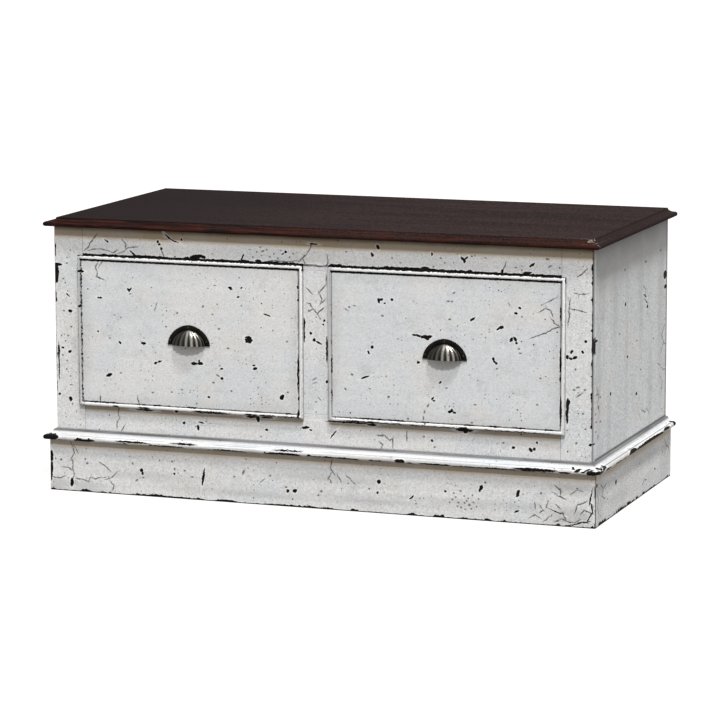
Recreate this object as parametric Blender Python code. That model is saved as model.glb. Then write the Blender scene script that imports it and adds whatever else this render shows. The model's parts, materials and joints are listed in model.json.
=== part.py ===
"""A painted blanket chest with two drawers, a stained top and fluted cup pulls.

Units are metres, +Z is up and the front faces -Y. The origin lies on the floor under the middle
of the whole object. Run it with blender --background --python part.py.
"""

import math

import bmesh
import bpy

# Whole case, measured over the face frame and the side panels
BODY_WIDTH = 1.068
BODY_DEPTH = 0.517
TOTAL_HEIGHT = 0.527

# Clearances
SEAT_GAP = 0.0003
DRAWER_CLEARANCE = 0.0015
DRAWER_REAR_CLEARANCE = 0.020

# Top board and its moulded edge
TOP_THICKNESS = 0.016
TOP_OVERHANG = 0.016
TOP_BACK_OVERHANG = 0.011
TOP_BEAD_RADIUS = 0.0045
TOP_FILLET = 0.0025
TOP_COVE_WIDTH = 0.0125

# Plinth and the moulding on it
PLINTH_HEIGHT = 0.099
PLINTH_THICKNESS = 0.020
PLINTH_PROUD = 0.011
GLUE_BLOCK_SIZE = 0.045
GLUE_BLOCK_NIP = 0.011
GLUE_BLOCK_LIFT = 0.012
MOULDING_HEIGHT = 0.020
MOULDING_REACH = 0.021
MOULDING_NOSE_RADIUS = 0.005
MOULDING_FILLET = 0.0015
MOULDING_CAP_RADIUS = 0.0035
MOULDING_CAP_FLAT = 0.0025

# Face frame: the widths that show round the drawers, and its joints
STILE_SHOW = 0.050
MUNTIN_SHOW = 0.050
TOP_RAIL_SHOW = 0.054
BOTTOM_RAIL_SHOW = 0.049
FRAME_THICKNESS = 0.020
STILE_ARRIS_RADIUS = 0.0015
TENON_LENGTH = 0.022
TENON_THICKNESS = 0.008
TENON_SHOULDER = 0.010
TONGUE_LENGTH = 0.006
TONGUE_THICKNESS = 0.006

# Case boards
SIDE_THICKNESS = 0.018
BACK_THICKNESS = 0.008
BACK_REBATE = 0.009
PARTITION_THICKNESS = 0.018
REAR_RAIL_THICKNESS = 0.018
REAR_RAIL_HEIGHT = 0.060
CLEAT_SIZE = 0.020

# Drawer runners, guides and kickers
RUNNER_HEIGHT = 0.022
RUNNER_BEARING = 0.016
GUIDE_HEIGHT = 0.020
KICKER_HEIGHT = 0.022

# Drawer fronts, lipped over the frame, with a bead run round the edge
LIP_OVERLAP = 0.009
LIP_THICKNESS = 0.008
REBATE_DEPTH = 0.012
BEAD_RADIUS = 0.0035
QUIRK_WIDTH = 0.0012
FIELD_SINK = 0.0015

# Drawer boxes
DRAWER_SIDE_THICKNESS = 0.012
DRAWER_SIDE_DROP = 0.002
DRAWER_BACK_THICKNESS = 0.012
DRAWER_BACK_INSET = 0.012
DRAWER_BACK_DROP = 0.008
HOUSING_DEPTH = 0.004
DRAWER_BOTTOM_THICKNESS = 0.006
GROOVE_DEPTH = 0.005
GROOVE_LIFT = 0.014
TAIL_PITCH = 0.053
TAIL_WIDTH = 0.036
TAIL_SLOPE = 1 / 7

# Cup pulls: a flat flange round a ribbed half dome that is open below
PULL_WIDTH = 0.086
PULL_HEIGHT = 0.0385
PULL_LIFT = 0.0024
PULL_SQUEEZE = 1.09
FLANGE_WIDTH = 0.009
FLANGE_THICKNESS = 0.002
FLANGE_CHAMFER = 0.0006
DOME_DEPTH = 0.0155
DOME_WALL = 0.0026
DOME_DROP = 0.0004
RIB_COUNT = 9
RIB_DEPTH = 0.0016
RIB_START = 0.12
PIN_SHANK_RADIUS = 0.0010
PIN_HEAD_RADIUS = 0.0022
PIN_HEAD_HEIGHT = 0.0013
PIN_LENGTH = 0.009
PIN_HEAD_SWEEP = 75
PIN_END_ANGLE = math.radians(17)

# Facets
ARC_STEPS = 6
RIB_STEPS = 6
DOME_STEPS = 9
FLANGE_STEPS = 28
PIN_SIDES = 10
SMOOTH_ANGLE = math.radians(35)

# Places that follow from the sizes
CASE_BOTTOM = PLINTH_HEIGHT + SEAT_GAP
CASE_TOP = TOTAL_HEIGHT - TOP_THICKNESS - SEAT_GAP
HALF_WIDTH = BODY_WIDTH / 2
PULL_REACH = LIP_THICKNESS - FIELD_SINK + SEAT_GAP + DOME_DEPTH
FRONT_REACH = max(PULL_REACH, TOP_OVERHANG, MOULDING_REACH)
CASE_FRONT = (FRONT_REACH - BODY_DEPTH - TOP_BACK_OVERHANG) / 2

LIP_BOTTOM = PLINTH_HEIGHT + MOULDING_HEIGHT + BOTTOM_RAIL_SHOW
LIP_TOP = TOTAL_HEIGHT - TOP_THICKNESS - TOP_RAIL_SHOW
LIP_WIDTH = (BODY_WIDTH - 2 * STILE_SHOW - MUNTIN_SHOW) / 2
DRAWER_CENTRE = (MUNTIN_SHOW + LIP_WIDTH) / 2
OPENING_BOTTOM = LIP_BOTTOM + LIP_OVERLAP
OPENING_TOP = LIP_TOP - LIP_OVERLAP
OPENING_HALF = LIP_WIDTH / 2 - LIP_OVERLAP
STILE_EDGE = HALF_WIDTH - STILE_SHOW - LIP_OVERLAP
MUNTIN_EDGE = MUNTIN_SHOW / 2 + LIP_OVERLAP

SIDE_INNER = HALF_WIDTH - SIDE_THICKNESS
BACK_FACE = BODY_DEPTH - BACK_THICKNESS - SEAT_GAP
REAR_RAIL_FRONT = BACK_FACE - REAR_RAIL_THICKNESS
INNER_FRONT = FRAME_THICKNESS + SEAT_GAP
INNER_REAR = REAR_RAIL_FRONT - SEAT_GAP

DRAWER_BOTTOM = OPENING_BOTTOM + DRAWER_CLEARANCE
DRAWER_TOP = OPENING_TOP - DRAWER_CLEARANCE - DRAWER_SIDE_DROP
DRAWER_HALF = OPENING_HALF - DRAWER_CLEARANCE
DRAWER_INNER = DRAWER_HALF - DRAWER_SIDE_THICKNESS
DRAWER_REAR = REAR_RAIL_FRONT - DRAWER_REAR_CLEARANCE
RUNNER_TOP = DRAWER_BOTTOM - SEAT_GAP
GROOVE_BOTTOM = DRAWER_BOTTOM + GROOVE_LIFT
GROOVE_TOP = GROOVE_BOTTOM + DRAWER_BOTTOM_THICKNESS + 2 * SEAT_GAP
FIELD_FACE = -(LIP_THICKNESS - FIELD_SINK)
PULL_BASE = (LIP_BOTTOM + LIP_TOP - PULL_HEIGHT) / 2 + PULL_LIFT


def clear_scene():
    for piece in list(bpy.data.objects):
        bpy.data.objects.remove(piece, do_unlink=True)


def finish(name, colour, roughness, metallic=0.0):
    material = bpy.data.materials.new(name)
    material.use_nodes = True
    shader = material.node_tree.nodes["Principled BSDF"]
    shader.inputs["Base Color"].default_value = (*colour, 1.0)
    shader.inputs["Roughness"].default_value = roughness
    shader.inputs["Metallic"].default_value = metallic
    material.diffuse_color = (*colour, 1.0)
    return material


def group(name, x):
    """An empty on the front plane of the case, which carries one moving or fixed group of pieces."""
    empty = bpy.data.objects.new(name, None)
    empty.location = (x, CASE_FRONT, 0.0)
    bpy.context.collection.objects.link(empty)
    return empty


def add_piece(name, shape, look, parent):
    bmesh.ops.recalc_face_normals(shape, faces=shape.faces)
    mesh = bpy.data.meshes.new(name)
    shape.to_mesh(mesh)
    shape.free()
    mesh.materials.append(look)
    piece = bpy.data.objects.new(name, mesh)
    piece.parent = parent
    bpy.context.collection.objects.link(piece)
    return piece


def smooth(piece):
    piece.data.shade_smooth()
    piece.data.set_sharp_from_angle(angle=SMOOTH_ANGLE)


def skin(shape, loops):
    """Adds a closed solid over matching loops of points, capped at both ends."""
    rows = [[shape.verts.new(point) for point in loop] for loop in loops]
    for near, far in zip(rows, rows[1:]):
        for start in range(len(near)):
            end = (start + 1) % len(near)
            shape.faces.new((near[start], near[end], far[end], far[start]))
    shape.faces.new(rows[0])
    shape.faces.new(rows[-1])


def loft(name, loops, look, parent):
    shape = bmesh.new()
    skin(shape, loops)
    return add_piece(name, shape, look, parent)


def place(axis, along, first, second):
    """A point whose other two coordinates, in X, Y, Z order, are first and second."""
    return {
        "X": (along, first, second),
        "Y": (first, along, second),
        "Z": (first, second, along),
    }[axis]


def prism(name, outline, axis, span, look, parent):
    loops = [[place(axis, end, *point) for point in outline] for end in span]
    return loft(name, loops, look, parent)


def rectangle(first, second):
    return [
        (first[0], second[0]),
        (first[1], second[0]),
        (first[1], second[1]),
        (first[0], second[1]),
    ]


def board(name, x, y, z, look, parent):
    """A plain board between the low and high values given for each axis."""
    return prism(name, rectangle(x, y), "Z", z, look, parent)


def mirrored(side, low, high):
    """The span from low to high on the right of the middle, or its mirror image on the left."""
    return tuple(sorted((side * low, side * high)))


def arc(centre, radii, start, end, steps=ARC_STEPS):
    """Points along an ellipse's arc, angles in degrees."""
    angles = [math.radians(start + (end - start) * step / steps) for step in range(steps + 1)]
    return [
        (centre[0] + radii[0] * math.cos(angle), centre[1] + radii[1] * math.sin(angle))
        for angle in angles
    ]


def shape_with(target, tool, operation):
    tool.hide_render = True
    tool.display_type = "WIRE"
    modifier = target.modifiers.new(tool.name, "BOOLEAN")
    modifier.operation = operation
    modifier.object = tool


def cut(target, tool):
    shape_with(target, tool, "DIFFERENCE")


def fuse(target, tool):
    shape_with(target, tool, "UNION")


def build_top(look, case):
    """The top board: bead, fillet and cove along the front and the ends, and a plain back edge."""
    reach = HALF_WIDTH + TOP_OVERHANG
    underside = TOTAL_HEIGHT - TOP_THICKNESS
    bead_top = underside + 2 * TOP_BEAD_RADIUS
    cove_start = TOP_BEAD_RADIUS + TOP_FILLET
    cove_rise = TOTAL_HEIGHT - bead_top
    bead_centre = (TOP_BEAD_RADIUS, underside + TOP_BEAD_RADIUS)
    bead = arc(bead_centre, (TOP_BEAD_RADIUS, TOP_BEAD_RADIUS), 270, 90)
    cove = arc((cove_start, TOTAL_HEIGHT), (TOP_COVE_WIDTH, cove_rise), 270, 360)
    loops = []
    for inset, height in bead + cove:
        side = reach - inset
        front = inset - TOP_OVERHANG
        back = BODY_DEPTH + TOP_BACK_OVERHANG
        loops.append([(x, y, height) for x, y in rectangle((-side, side), (front, back))])
    smooth(loft("top_panel", loops, look, case))


def moulding_profile():
    """Outline of the base moulding: distance out from the case, and height."""
    bottom = PLINTH_HEIGHT + SEAT_GAP
    top = PLINTH_HEIGHT + MOULDING_HEIGHT
    nose_centre = (MOULDING_REACH - MOULDING_NOSE_RADIUS, bottom + MOULDING_NOSE_RADIUS)
    cap_centre = (MOULDING_CAP_FLAT, top - MOULDING_CAP_RADIUS)
    cove_outer = nose_centre[0] - MOULDING_FILLET
    cove_inner = MOULDING_CAP_FLAT + MOULDING_CAP_RADIUS
    cove_bottom = bottom + 2 * MOULDING_NOSE_RADIUS
    cove_radii = (cove_outer - cove_inner, cap_centre[1] - cove_bottom)
    outline = [(SEAT_GAP, bottom)]
    outline += arc(nose_centre, (MOULDING_NOSE_RADIUS, MOULDING_NOSE_RADIUS), -90, 90)
    outline += arc((cove_outer, cap_centre[1]), cove_radii, 270, 180)
    outline += arc(cap_centre, (MOULDING_CAP_RADIUS, MOULDING_CAP_RADIUS), 0, 90)[1:]
    outline.append((SEAT_GAP, top))
    return outline


def build_mitred_band(name, outline, look, case):
    """A front length and two side lengths of one profile, mitred at the front corners."""
    reach = HALF_WIDTH
    front = [[(end * (reach + out), -out, height) for out, height in outline] for end in (-1, 1)]
    pieces = [loft(name + "_front", front, look, case)]
    mitre_gap = SEAT_GAP * math.sqrt(2)
    for side, word in ((-1, "left"), (1, "right")):
        mitre = [(side * (reach + out), mitre_gap - out, height) for out, height in outline]
        square = [(side * (reach + out), BODY_DEPTH, height) for out, height in outline]
        pieces.append(loft(f"{name}_{word}", [mitre, square], look, case))
    return pieces


def build_plinth(look, raw, case):
    inner = PLINTH_PROUD - PLINTH_THICKNESS
    outline = rectangle((inner, PLINTH_PROUD), (0.0, PLINTH_HEIGHT))
    build_mitred_band("plinth", outline, look, case)
    for piece in build_mitred_band("base_moulding", moulding_profile(), look, case):
        smooth(piece)
    corner = HALF_WIDTH + inner - SEAT_GAP
    back_front = BODY_DEPTH - PLINTH_THICKNESS
    board("plinth_back", (-corner, corner), (back_front, BODY_DEPTH), (0.0, PLINTH_HEIGHT), look, case)
    near = SEAT_GAP - inner
    far = back_front - SEAT_GAP
    for side, word in ((-1, "left"), (1, "right")):
        for start, step, end in ((near, 1, "front"), (far, -1, "rear")):
            build_glue_block(f"{end}_{word}_glue_block", (side * corner, start), (-side, step), raw, case)


def build_glue_block(name, corner, inward, look, case):
    """A three-cornered block in a corner of the plinth, with its points nipped off."""
    leg, nip = GLUE_BLOCK_SIZE, GLUE_BLOCK_NIP
    points = [(0, 0), (leg, 0), (leg, nip), (nip, leg), (0, leg)]
    outline = [(corner[0] + inward[0] * x, corner[1] + inward[1] * y) for x, y in points]
    prism(name, outline, "Z", (GLUE_BLOCK_LIFT, PLINTH_HEIGHT), look, case)


def tenon_span(low, high):
    return (low + TENON_SHOULDER, high - TENON_SHOULDER)


def tenon_depth(gap=0.0):
    middle = FRAME_THICKNESS / 2
    return (middle - TENON_THICKNESS / 2 - gap, middle + TENON_THICKNESS / 2 + gap)


def build_tenoned(name, axis, ends, width, look, case):
    """A frame member between two shoulders, with a tenon on each end."""
    face = (0.0, FRAME_THICKNESS)
    pairs = {"X": (face, width), "Z": (width, face)}
    tenons = {"X": (tenon_depth(), tenon_span(*width)), "Z": (tenon_span(*width), tenon_depth())}
    body = rectangle(*pairs[axis])
    tenon = rectangle(*tenons[axis])
    low, high = ends
    sections = [
        (low - TENON_LENGTH, tenon),
        (low, tenon),
        (low, body),
        (high, body),
        (high, tenon),
        (high + TENON_LENGTH, tenon),
    ]
    loops = [[place(axis, along, *point) for point in outline] for along, outline in sections]
    return loft(name, loops, look, case)


def build_mortise(target, x, z, look, case):
    cut(target, board(target.name + "_mortise", x, tenon_depth(SEAT_GAP), z, look, case))


def widened(span):
    return (span[0] - SEAT_GAP, span[1] + SEAT_GAP)


def tongue_edges(gap=0.0):
    """How far out from the middle of the chest the side panel's tongue starts and ends."""
    middle = HALF_WIDTH - SIDE_THICKNESS / 2
    return (middle - TONGUE_THICKNESS / 2 - gap, middle + TONGUE_THICKNESS / 2 + gap)


def build_stile(side, word, rails, look, case):
    """An outer stile: rounded on its outer arris, grooved behind for the side panel."""
    tongue_low, tongue_high = tongue_edges(SEAT_GAP)
    groove_end = FRAME_THICKNESS - TONGUE_LENGTH - SEAT_GAP
    arris_centre = (HALF_WIDTH - STILE_ARRIS_RADIUS, STILE_ARRIS_RADIUS)
    outline = [(STILE_EDGE, 0.0)]
    outline += arc(arris_centre, (STILE_ARRIS_RADIUS, STILE_ARRIS_RADIUS), 270, 360)
    outline += [
        (HALF_WIDTH, FRAME_THICKNESS),
        (tongue_high, FRAME_THICKNESS),
        (tongue_high, groove_end),
        (tongue_low, groove_end),
        (tongue_low, FRAME_THICKNESS),
        (STILE_EDGE, FRAME_THICKNESS),
    ]
    outline = [(side * x, y) for x, y in outline]
    stile = prism(word + "_stile", outline, "Z", (CASE_BOTTOM, CASE_TOP), look, case)
    mortise = mirrored(side, STILE_EDGE - SEAT_GAP, STILE_EDGE + TENON_LENGTH + SEAT_GAP)
    for rail in rails:
        build_mortise(stile, mortise, widened(tenon_span(*rail)), look, case)


def build_face_frame(look, case):
    top_rail = (OPENING_TOP, CASE_TOP)
    bottom_rail = (CASE_BOTTOM, OPENING_BOTTOM)
    for side, word in ((-1, "left"), (1, "right")):
        build_stile(side, word, (top_rail, bottom_rail), look, case)
    shoulder = STILE_EDGE - SEAT_GAP
    muntin = (-MUNTIN_EDGE, MUNTIN_EDGE)
    mortise = widened(tenon_span(*muntin))
    upper = build_tenoned("top_rail", "X", (-shoulder, shoulder), top_rail, look, case)
    lower = build_tenoned("bottom_rail", "X", (-shoulder, shoulder), bottom_rail, look, case)
    reach = TENON_LENGTH + SEAT_GAP
    build_mortise(upper, mortise, (OPENING_TOP - SEAT_GAP, OPENING_TOP + reach), look, case)
    build_mortise(lower, mortise, (OPENING_BOTTOM - reach, OPENING_BOTTOM + SEAT_GAP), look, case)
    muntin_ends = (OPENING_BOTTOM + SEAT_GAP, OPENING_TOP - SEAT_GAP)
    build_tenoned("centre_muntin", "Z", muntin_ends, muntin, look, case)


def build_side_panel(side, word, look, case):
    """A side panel, tongued into the stile in front and rebated for the back panel behind."""
    tongue_low, tongue_high = tongue_edges()
    tongue_front = FRAME_THICKNESS - TONGUE_LENGTH
    rebate_edge = HALF_WIDTH - BACK_REBATE
    rebate_front = BODY_DEPTH - BACK_THICKNESS - SEAT_GAP
    outline = [
        (SIDE_INNER, INNER_FRONT),
        (tongue_low, INNER_FRONT),
        (tongue_low, tongue_front),
        (tongue_high, tongue_front),
        (tongue_high, INNER_FRONT),
        (HALF_WIDTH, INNER_FRONT),
        (HALF_WIDTH, BODY_DEPTH),
        (rebate_edge, BODY_DEPTH),
        (rebate_edge, rebate_front),
        (SIDE_INNER, rebate_front),
    ]
    outline = [(side * x, y) for x, y in outline]
    prism(word + "_side_panel", outline, "Z", (CASE_BOTTOM, CASE_TOP), look, case)


def build_case_boards(paint, raw, case):
    height = (CASE_BOTTOM, CASE_TOP)
    depth = (INNER_FRONT, INNER_REAR)
    inner = SIDE_INNER - SEAT_GAP
    for side, word in ((-1, "left"), (1, "right")):
        build_side_panel(side, word, paint, case)
        cleat = mirrored(side, inner - CLEAT_SIZE, inner)
        board(word + "_top_cleat", cleat, depth, (CASE_TOP - CLEAT_SIZE, CASE_TOP), raw, case)
    back_reach = HALF_WIDTH - BACK_REBATE - SEAT_GAP
    back = (BODY_DEPTH - BACK_THICKNESS, BODY_DEPTH)
    board("back_panel", (-back_reach, back_reach), back, height, paint, case)
    rear = (REAR_RAIL_FRONT, BACK_FACE)
    width = (-inner, inner)
    board("rear_top_rail", width, rear, (CASE_TOP - REAR_RAIL_HEIGHT, CASE_TOP), raw, case)
    rear_bottom = (CASE_BOTTOM, CASE_BOTTOM + REAR_RAIL_HEIGHT)
    board("rear_bottom_rail", width, rear, rear_bottom, raw, case)
    middle = PARTITION_THICKNESS / 2
    board("centre_partition", (-middle, middle), depth, height, raw, case)


def build_slides(raw, case):
    """Under each side of a drawer a runner, beside it a guide, and above it a kicker."""
    outer = (STILE_EDGE, SIDE_INNER - SEAT_GAP, -RUNNER_BEARING, 0.0)
    inner = (PARTITION_THICKNESS / 2 + SEAT_GAP, MUNTIN_EDGE, 0.0, RUNNER_BEARING)
    depth = (INNER_FRONT, INNER_REAR)
    runner = (RUNNER_TOP - RUNNER_HEIGHT, RUNNER_TOP)
    guide = (RUNNER_TOP + SEAT_GAP, RUNNER_TOP + SEAT_GAP + GUIDE_HEIGHT)
    kicker = (OPENING_TOP, OPENING_TOP + KICKER_HEIGHT)
    for side, word in ((-1, "left"), (1, "right")):
        for end, (low, high, more_low, more_high) in (("outer", outer), ("inner", inner)):
            wide = mirrored(side, low + more_low, high + more_high)
            name = f"{word}_{end}"
            board(name + "_runner", wide, depth, runner, raw, case)
            board(name + "_guide", mirrored(side, low, high), depth, guide, raw, case)
            board(name + "_kicker", wide, depth, kicker, raw, case)


def front_profile():
    """From the back of a drawer front to its field: inset from the lip's edge, and depth."""
    rebate = LIP_OVERLAP + DRAWER_CLEARANCE
    bead_centre = (BEAD_RADIUS, BEAD_RADIUS - LIP_THICKNESS)
    profile = [(rebate, REBATE_DEPTH), (rebate, -SEAT_GAP), (0.0, -SEAT_GAP)]
    profile += arc(bead_centre, (BEAD_RADIUS, BEAD_RADIUS), 180, 360)
    profile.append((2 * BEAD_RADIUS + QUIRK_WIDTH, FIELD_FACE))
    return profile


def build_drawer_front(name, look, drawer):
    loops = []
    for inset, depth in front_profile():
        x = (inset - LIP_WIDTH / 2, LIP_WIDTH / 2 - inset)
        z = (LIP_BOTTOM + inset, LIP_TOP - inset)
        loops.append([(across, depth, up) for across, up in rectangle(x, z)])
    front = loft(name, loops, look, drawer)
    smooth(front)
    return front


def tail_outlines(gap):
    """The dovetails up one drawer side, as depth and height, grown by gap for their sockets."""
    count = max(2, int((DRAWER_TOP - DRAWER_BOTTOM) / TAIL_PITCH))
    pitch = (DRAWER_TOP - DRAWER_BOTTOM) / count
    wide = TAIL_WIDTH / 2 + gap
    narrow = wide - REBATE_DEPTH * TAIL_SLOPE
    tip = SEAT_GAP - gap
    root = REBATE_DEPTH + SEAT_GAP
    for number in range(count):
        middle = DRAWER_BOTTOM + pitch * (number + 0.5)
        yield [
            (root, middle - narrow),
            (tip, middle - wide),
            (tip, middle + wide),
            (root, middle + narrow),
        ]


def build_drawer_side(name, side, look, drawer):
    root = REBATE_DEPTH + SEAT_GAP
    outline = [(DRAWER_REAR, DRAWER_TOP), (DRAWER_REAR, DRAWER_BOTTOM), (root, DRAWER_BOTTOM)]
    for tail in tail_outlines(0.0):
        outline += tail
    outline.append((root, DRAWER_TOP))
    thickness = mirrored(side, DRAWER_INNER, DRAWER_HALF)
    piece = prism(name, outline, "X", thickness, look, drawer)
    groove_x = mirrored(side, DRAWER_INNER - SEAT_GAP, DRAWER_INNER + GROOVE_DEPTH)
    groove_y = (-SEAT_GAP, DRAWER_REAR + SEAT_GAP)
    cut(piece, board(name + "_groove", groove_x, groove_y, (GROOVE_BOTTOM, GROOVE_TOP), look, drawer))
    housing_x = mirrored(side, DRAWER_INNER - SEAT_GAP, DRAWER_INNER + HOUSING_DEPTH)
    housing_y = widened(drawer_back_depth())
    housing_z = ((GROOVE_BOTTOM + GROOVE_TOP) / 2, DRAWER_TOP + SEAT_GAP)
    cut(piece, board(name + "_housing", housing_x, housing_y, housing_z, look, drawer))


def drawer_back_depth():
    rear = DRAWER_REAR - DRAWER_BACK_INSET
    return (rear - DRAWER_BACK_THICKNESS, rear)


def build_sockets(front, look, drawer):
    """Half-blind dovetail sockets in both ends of a drawer front, and the groove for its bottom."""
    for side, word in ((-1, "left"), (1, "right")):
        span = mirrored(side, DRAWER_INNER - SEAT_GAP, DRAWER_HALF + SEAT_GAP)
        shape = bmesh.new()
        for outline in tail_outlines(SEAT_GAP):
            skin(shape, [[(x, *point) for point in outline] for x in span])
        cut(front, add_piece(f"{front.name}_{word}_sockets", shape, look, drawer))
    reach = DRAWER_INNER + GROOVE_DEPTH
    depth = (REBATE_DEPTH - GROOVE_DEPTH, REBATE_DEPTH + SEAT_GAP)
    height = (GROOVE_BOTTOM, GROOVE_TOP)
    cut(front, board(front.name + "_groove", (-reach, reach), depth, height, look, drawer))


def pull_outline(half_width, height, turn):
    """A point of the pull's arched outline: a half ellipse squeezed a little towards a triangle."""
    across = abs(math.cos(turn)) ** PULL_SQUEEZE
    up = abs(math.sin(turn)) ** PULL_SQUEEZE
    return (math.copysign(half_width * across, math.cos(turn)), PULL_BASE + height * up)


def half_ring(outer, inner):
    """The outline of an arched ring, flat below, from its outer and inner half widths and heights."""
    turns = [math.pi * step / FLANGE_STEPS for step in range(FLANGE_STEPS + 1)]
    outside = [pull_outline(*outer, turn) for turn in turns]
    inside = [pull_outline(*inner, turn) for turn in reversed(turns)]
    return outside + inside


def build_flange(name, look, drawer):
    back = FIELD_FACE - SEAT_GAP
    outer = (PULL_WIDTH / 2, PULL_HEIGHT)
    chamfered = (outer[0] - FLANGE_CHAMFER, outer[1] - FLANGE_CHAMFER)
    overlap = DOME_WALL + RIB_DEPTH
    inner = (outer[0] - FLANGE_WIDTH - overlap, outer[1] - FLANGE_WIDTH - overlap)
    sections = [
        (back, outer),
        (back - FLANGE_THICKNESS + FLANGE_CHAMFER, outer),
        (back - FLANGE_THICKNESS, chamfered),
    ]
    loops = [[(x, y, z) for x, z in half_ring(edge, inner)] for y, edge in sections]
    return loft(name, loops, look, drawer)


def dome_point(wall, rib_depth, turn, fall):
    """A point of the dome: turn goes round from right to left, fall from the top to the rim."""
    start = FIELD_FACE - SEAT_GAP - FLANGE_THICKNESS / 2
    half_width = PULL_WIDTH / 2 - FLANGE_WIDTH - wall
    height = PULL_HEIGHT - FLANGE_WIDTH - wall
    depth = DOME_DEPTH - FLANGE_THICKNESS / 2 - wall
    spread = min(1.0, max(0.0, (fall - RIB_START) / (1 - RIB_START)))
    valley = rib_depth * spread * (1 - abs(math.sin(RIB_COUNT * turn)))
    out, up = pull_outline(1.0, height, (1 - fall) * math.pi / 2)
    x = (half_width - valley) * out * math.cos(turn)
    y = start - (depth - valley) * out * math.sin(turn)
    return (x, y, up)


def build_dome(name, look, drawer):
    """A quarter of a squeezed ellipsoid as a thin shell, ribbed outside, open below and behind."""
    shape = bmesh.new()
    turns = [math.pi * step / (RIB_COUNT * RIB_STEPS) for step in range(RIB_COUNT * RIB_STEPS + 1)]
    falls = [step / DOME_STEPS for step in range(1, DOME_STEPS + 1)]
    shells = []
    for wall, rib_depth in ((0.0, RIB_DEPTH), (DOME_WALL, 0.0)):
        pole = shape.verts.new(dome_point(wall, rib_depth, math.pi / 2, 0.0))
        rows = [[dome_point(wall, rib_depth, turn, fall) for turn in turns] for fall in falls]
        rows.append([(x, y, z - DOME_DROP) for x, y, z in rows[-1]])
        grid = [[shape.verts.new(point) for point in row] for row in rows]
        for left, right in zip(grid[0], grid[0][1:]):
            shape.faces.new((pole, left, right))
        for upper, lower in zip(grid, grid[1:]):
            for step in range(len(turns) - 1):
                shape.faces.new((upper[step], lower[step], lower[step + 1], upper[step + 1]))
        shells.append((pole, grid))
    (outer_pole, outer), (inner_pole, inner) = shells
    for step in range(len(turns) - 1):
        shape.faces.new((outer[-1][step], inner[-1][step], inner[-1][step + 1], outer[-1][step + 1]))
    for end in (0, -1):
        outer_edge = [outer_pole] + [row[end] for row in outer]
        inner_edge = [inner_pole] + [row[end] for row in inner]
        for step in range(len(outer_edge) - 1):
            shape.faces.new(
                (outer_edge[step], inner_edge[step], inner_edge[step + 1], outer_edge[step + 1])
            )
    dome = add_piece(name, shape, look, drawer)
    smooth(dome)
    return dome


def turned(name, profile, centre, look, drawer):
    """A round piece about an axis along Y, from its radii and depths."""
    turns = [2 * math.pi * step / PIN_SIDES for step in range(PIN_SIDES)]
    loops = [
        [(centre[0] + radius * math.cos(turn), depth, centre[1] + radius * math.sin(turn)) for turn in turns]
        for radius, depth in profile
    ]
    return loft(name, loops, look, drawer)


def pin_places():
    """One pin at the top of the flange and one near each end of it."""
    half_width = (PULL_WIDTH - FLANGE_WIDTH) / 2
    height = PULL_HEIGHT - FLANGE_WIDTH / 2
    places = {"top": math.pi / 2, "left": math.pi - PIN_END_ANGLE, "right": PIN_END_ANGLE}
    return {end: pull_outline(half_width, height, turn) for end, turn in places.items()}


def build_pull(word, front, look, drawer):
    """A cup pull and the three round-headed pins that hold it to the drawer front."""
    pull = build_dome(word + "_cup_pull", look, drawer)
    fuse(pull, build_flange(word + "_flange", look, drawer))
    seat = FIELD_FACE - 2 * SEAT_GAP - FLANGE_THICKNESS
    tip = FIELD_FACE + PIN_LENGTH
    head = arc((0.0, seat), (PIN_HEAD_RADIUS, PIN_HEAD_HEIGHT), 0, -PIN_HEAD_SWEEP, ARC_STEPS // 2)
    shank = [(PIN_SHANK_RADIUS, tip), (PIN_SHANK_RADIUS, seat)]
    hole_radius = PIN_SHANK_RADIUS + SEAT_GAP
    hole = [(hole_radius, tip + SEAT_GAP), (hole_radius, seat - SEAT_GAP)]
    for end, centre in pin_places().items():
        smooth(turned(f"{word}_pull_{end}_pin", shank + head, centre, look, drawer))
        drill = turned(f"{word}_pull_{end}_drill", hole, centre, look, drawer)
        cut(pull, drill)
        cut(front, drill)


def build_drawer(word, x, looks):
    drawer = group(word + "_drawer", x)
    front = build_drawer_front(word + "_drawer_front", looks["paint"], drawer)
    build_sockets(front, looks["paint"], drawer)
    for side, hand in ((-1, "left"), (1, "right")):
        build_drawer_side(f"{word}_drawer_{hand}_side", side, looks["raw"], drawer)
    back_reach = DRAWER_INNER + HOUSING_DEPTH - SEAT_GAP
    back_height = (GROOVE_TOP, DRAWER_TOP - DRAWER_BACK_DROP)
    back_name = word + "_drawer_back"
    board(back_name, (-back_reach, back_reach), drawer_back_depth(), back_height, looks["raw"], drawer)
    bottom_reach = DRAWER_INNER + GROOVE_DEPTH - SEAT_GAP
    bottom_depth = (REBATE_DEPTH - GROOVE_DEPTH + SEAT_GAP, DRAWER_REAR)
    bottom_height = (GROOVE_BOTTOM + SEAT_GAP, GROOVE_TOP - SEAT_GAP)
    bottom_name = word + "_drawer_bottom"
    board(bottom_name, (-bottom_reach, bottom_reach), bottom_depth, bottom_height, looks["raw"], drawer)
    build_pull(word, front, looks["bronze"], drawer)


def main():
    clear_scene()
    looks = {
        "paint": finish("distressed_white_paint", (0.66, 0.66, 0.64), 0.55),
        "stain": finish("dark_stained_wood", (0.045, 0.026, 0.022), 0.35),
        "raw": finish("bare_wood", (0.52, 0.36, 0.20), 0.60),
        "bronze": finish("antique_bronze", (0.10, 0.085, 0.075), 0.35, 1.0),
    }
    case = group("case", 0.0)
    build_top(looks["stain"], case)
    build_plinth(looks["paint"], looks["raw"], case)
    build_face_frame(looks["paint"], case)
    build_case_boards(looks["paint"], looks["raw"], case)
    build_slides(looks["raw"], case)
    for side, word in ((-1, "left"), (1, "right")):
        build_drawer(word, side * DRAWER_CENTRE, looks)


main()
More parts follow.
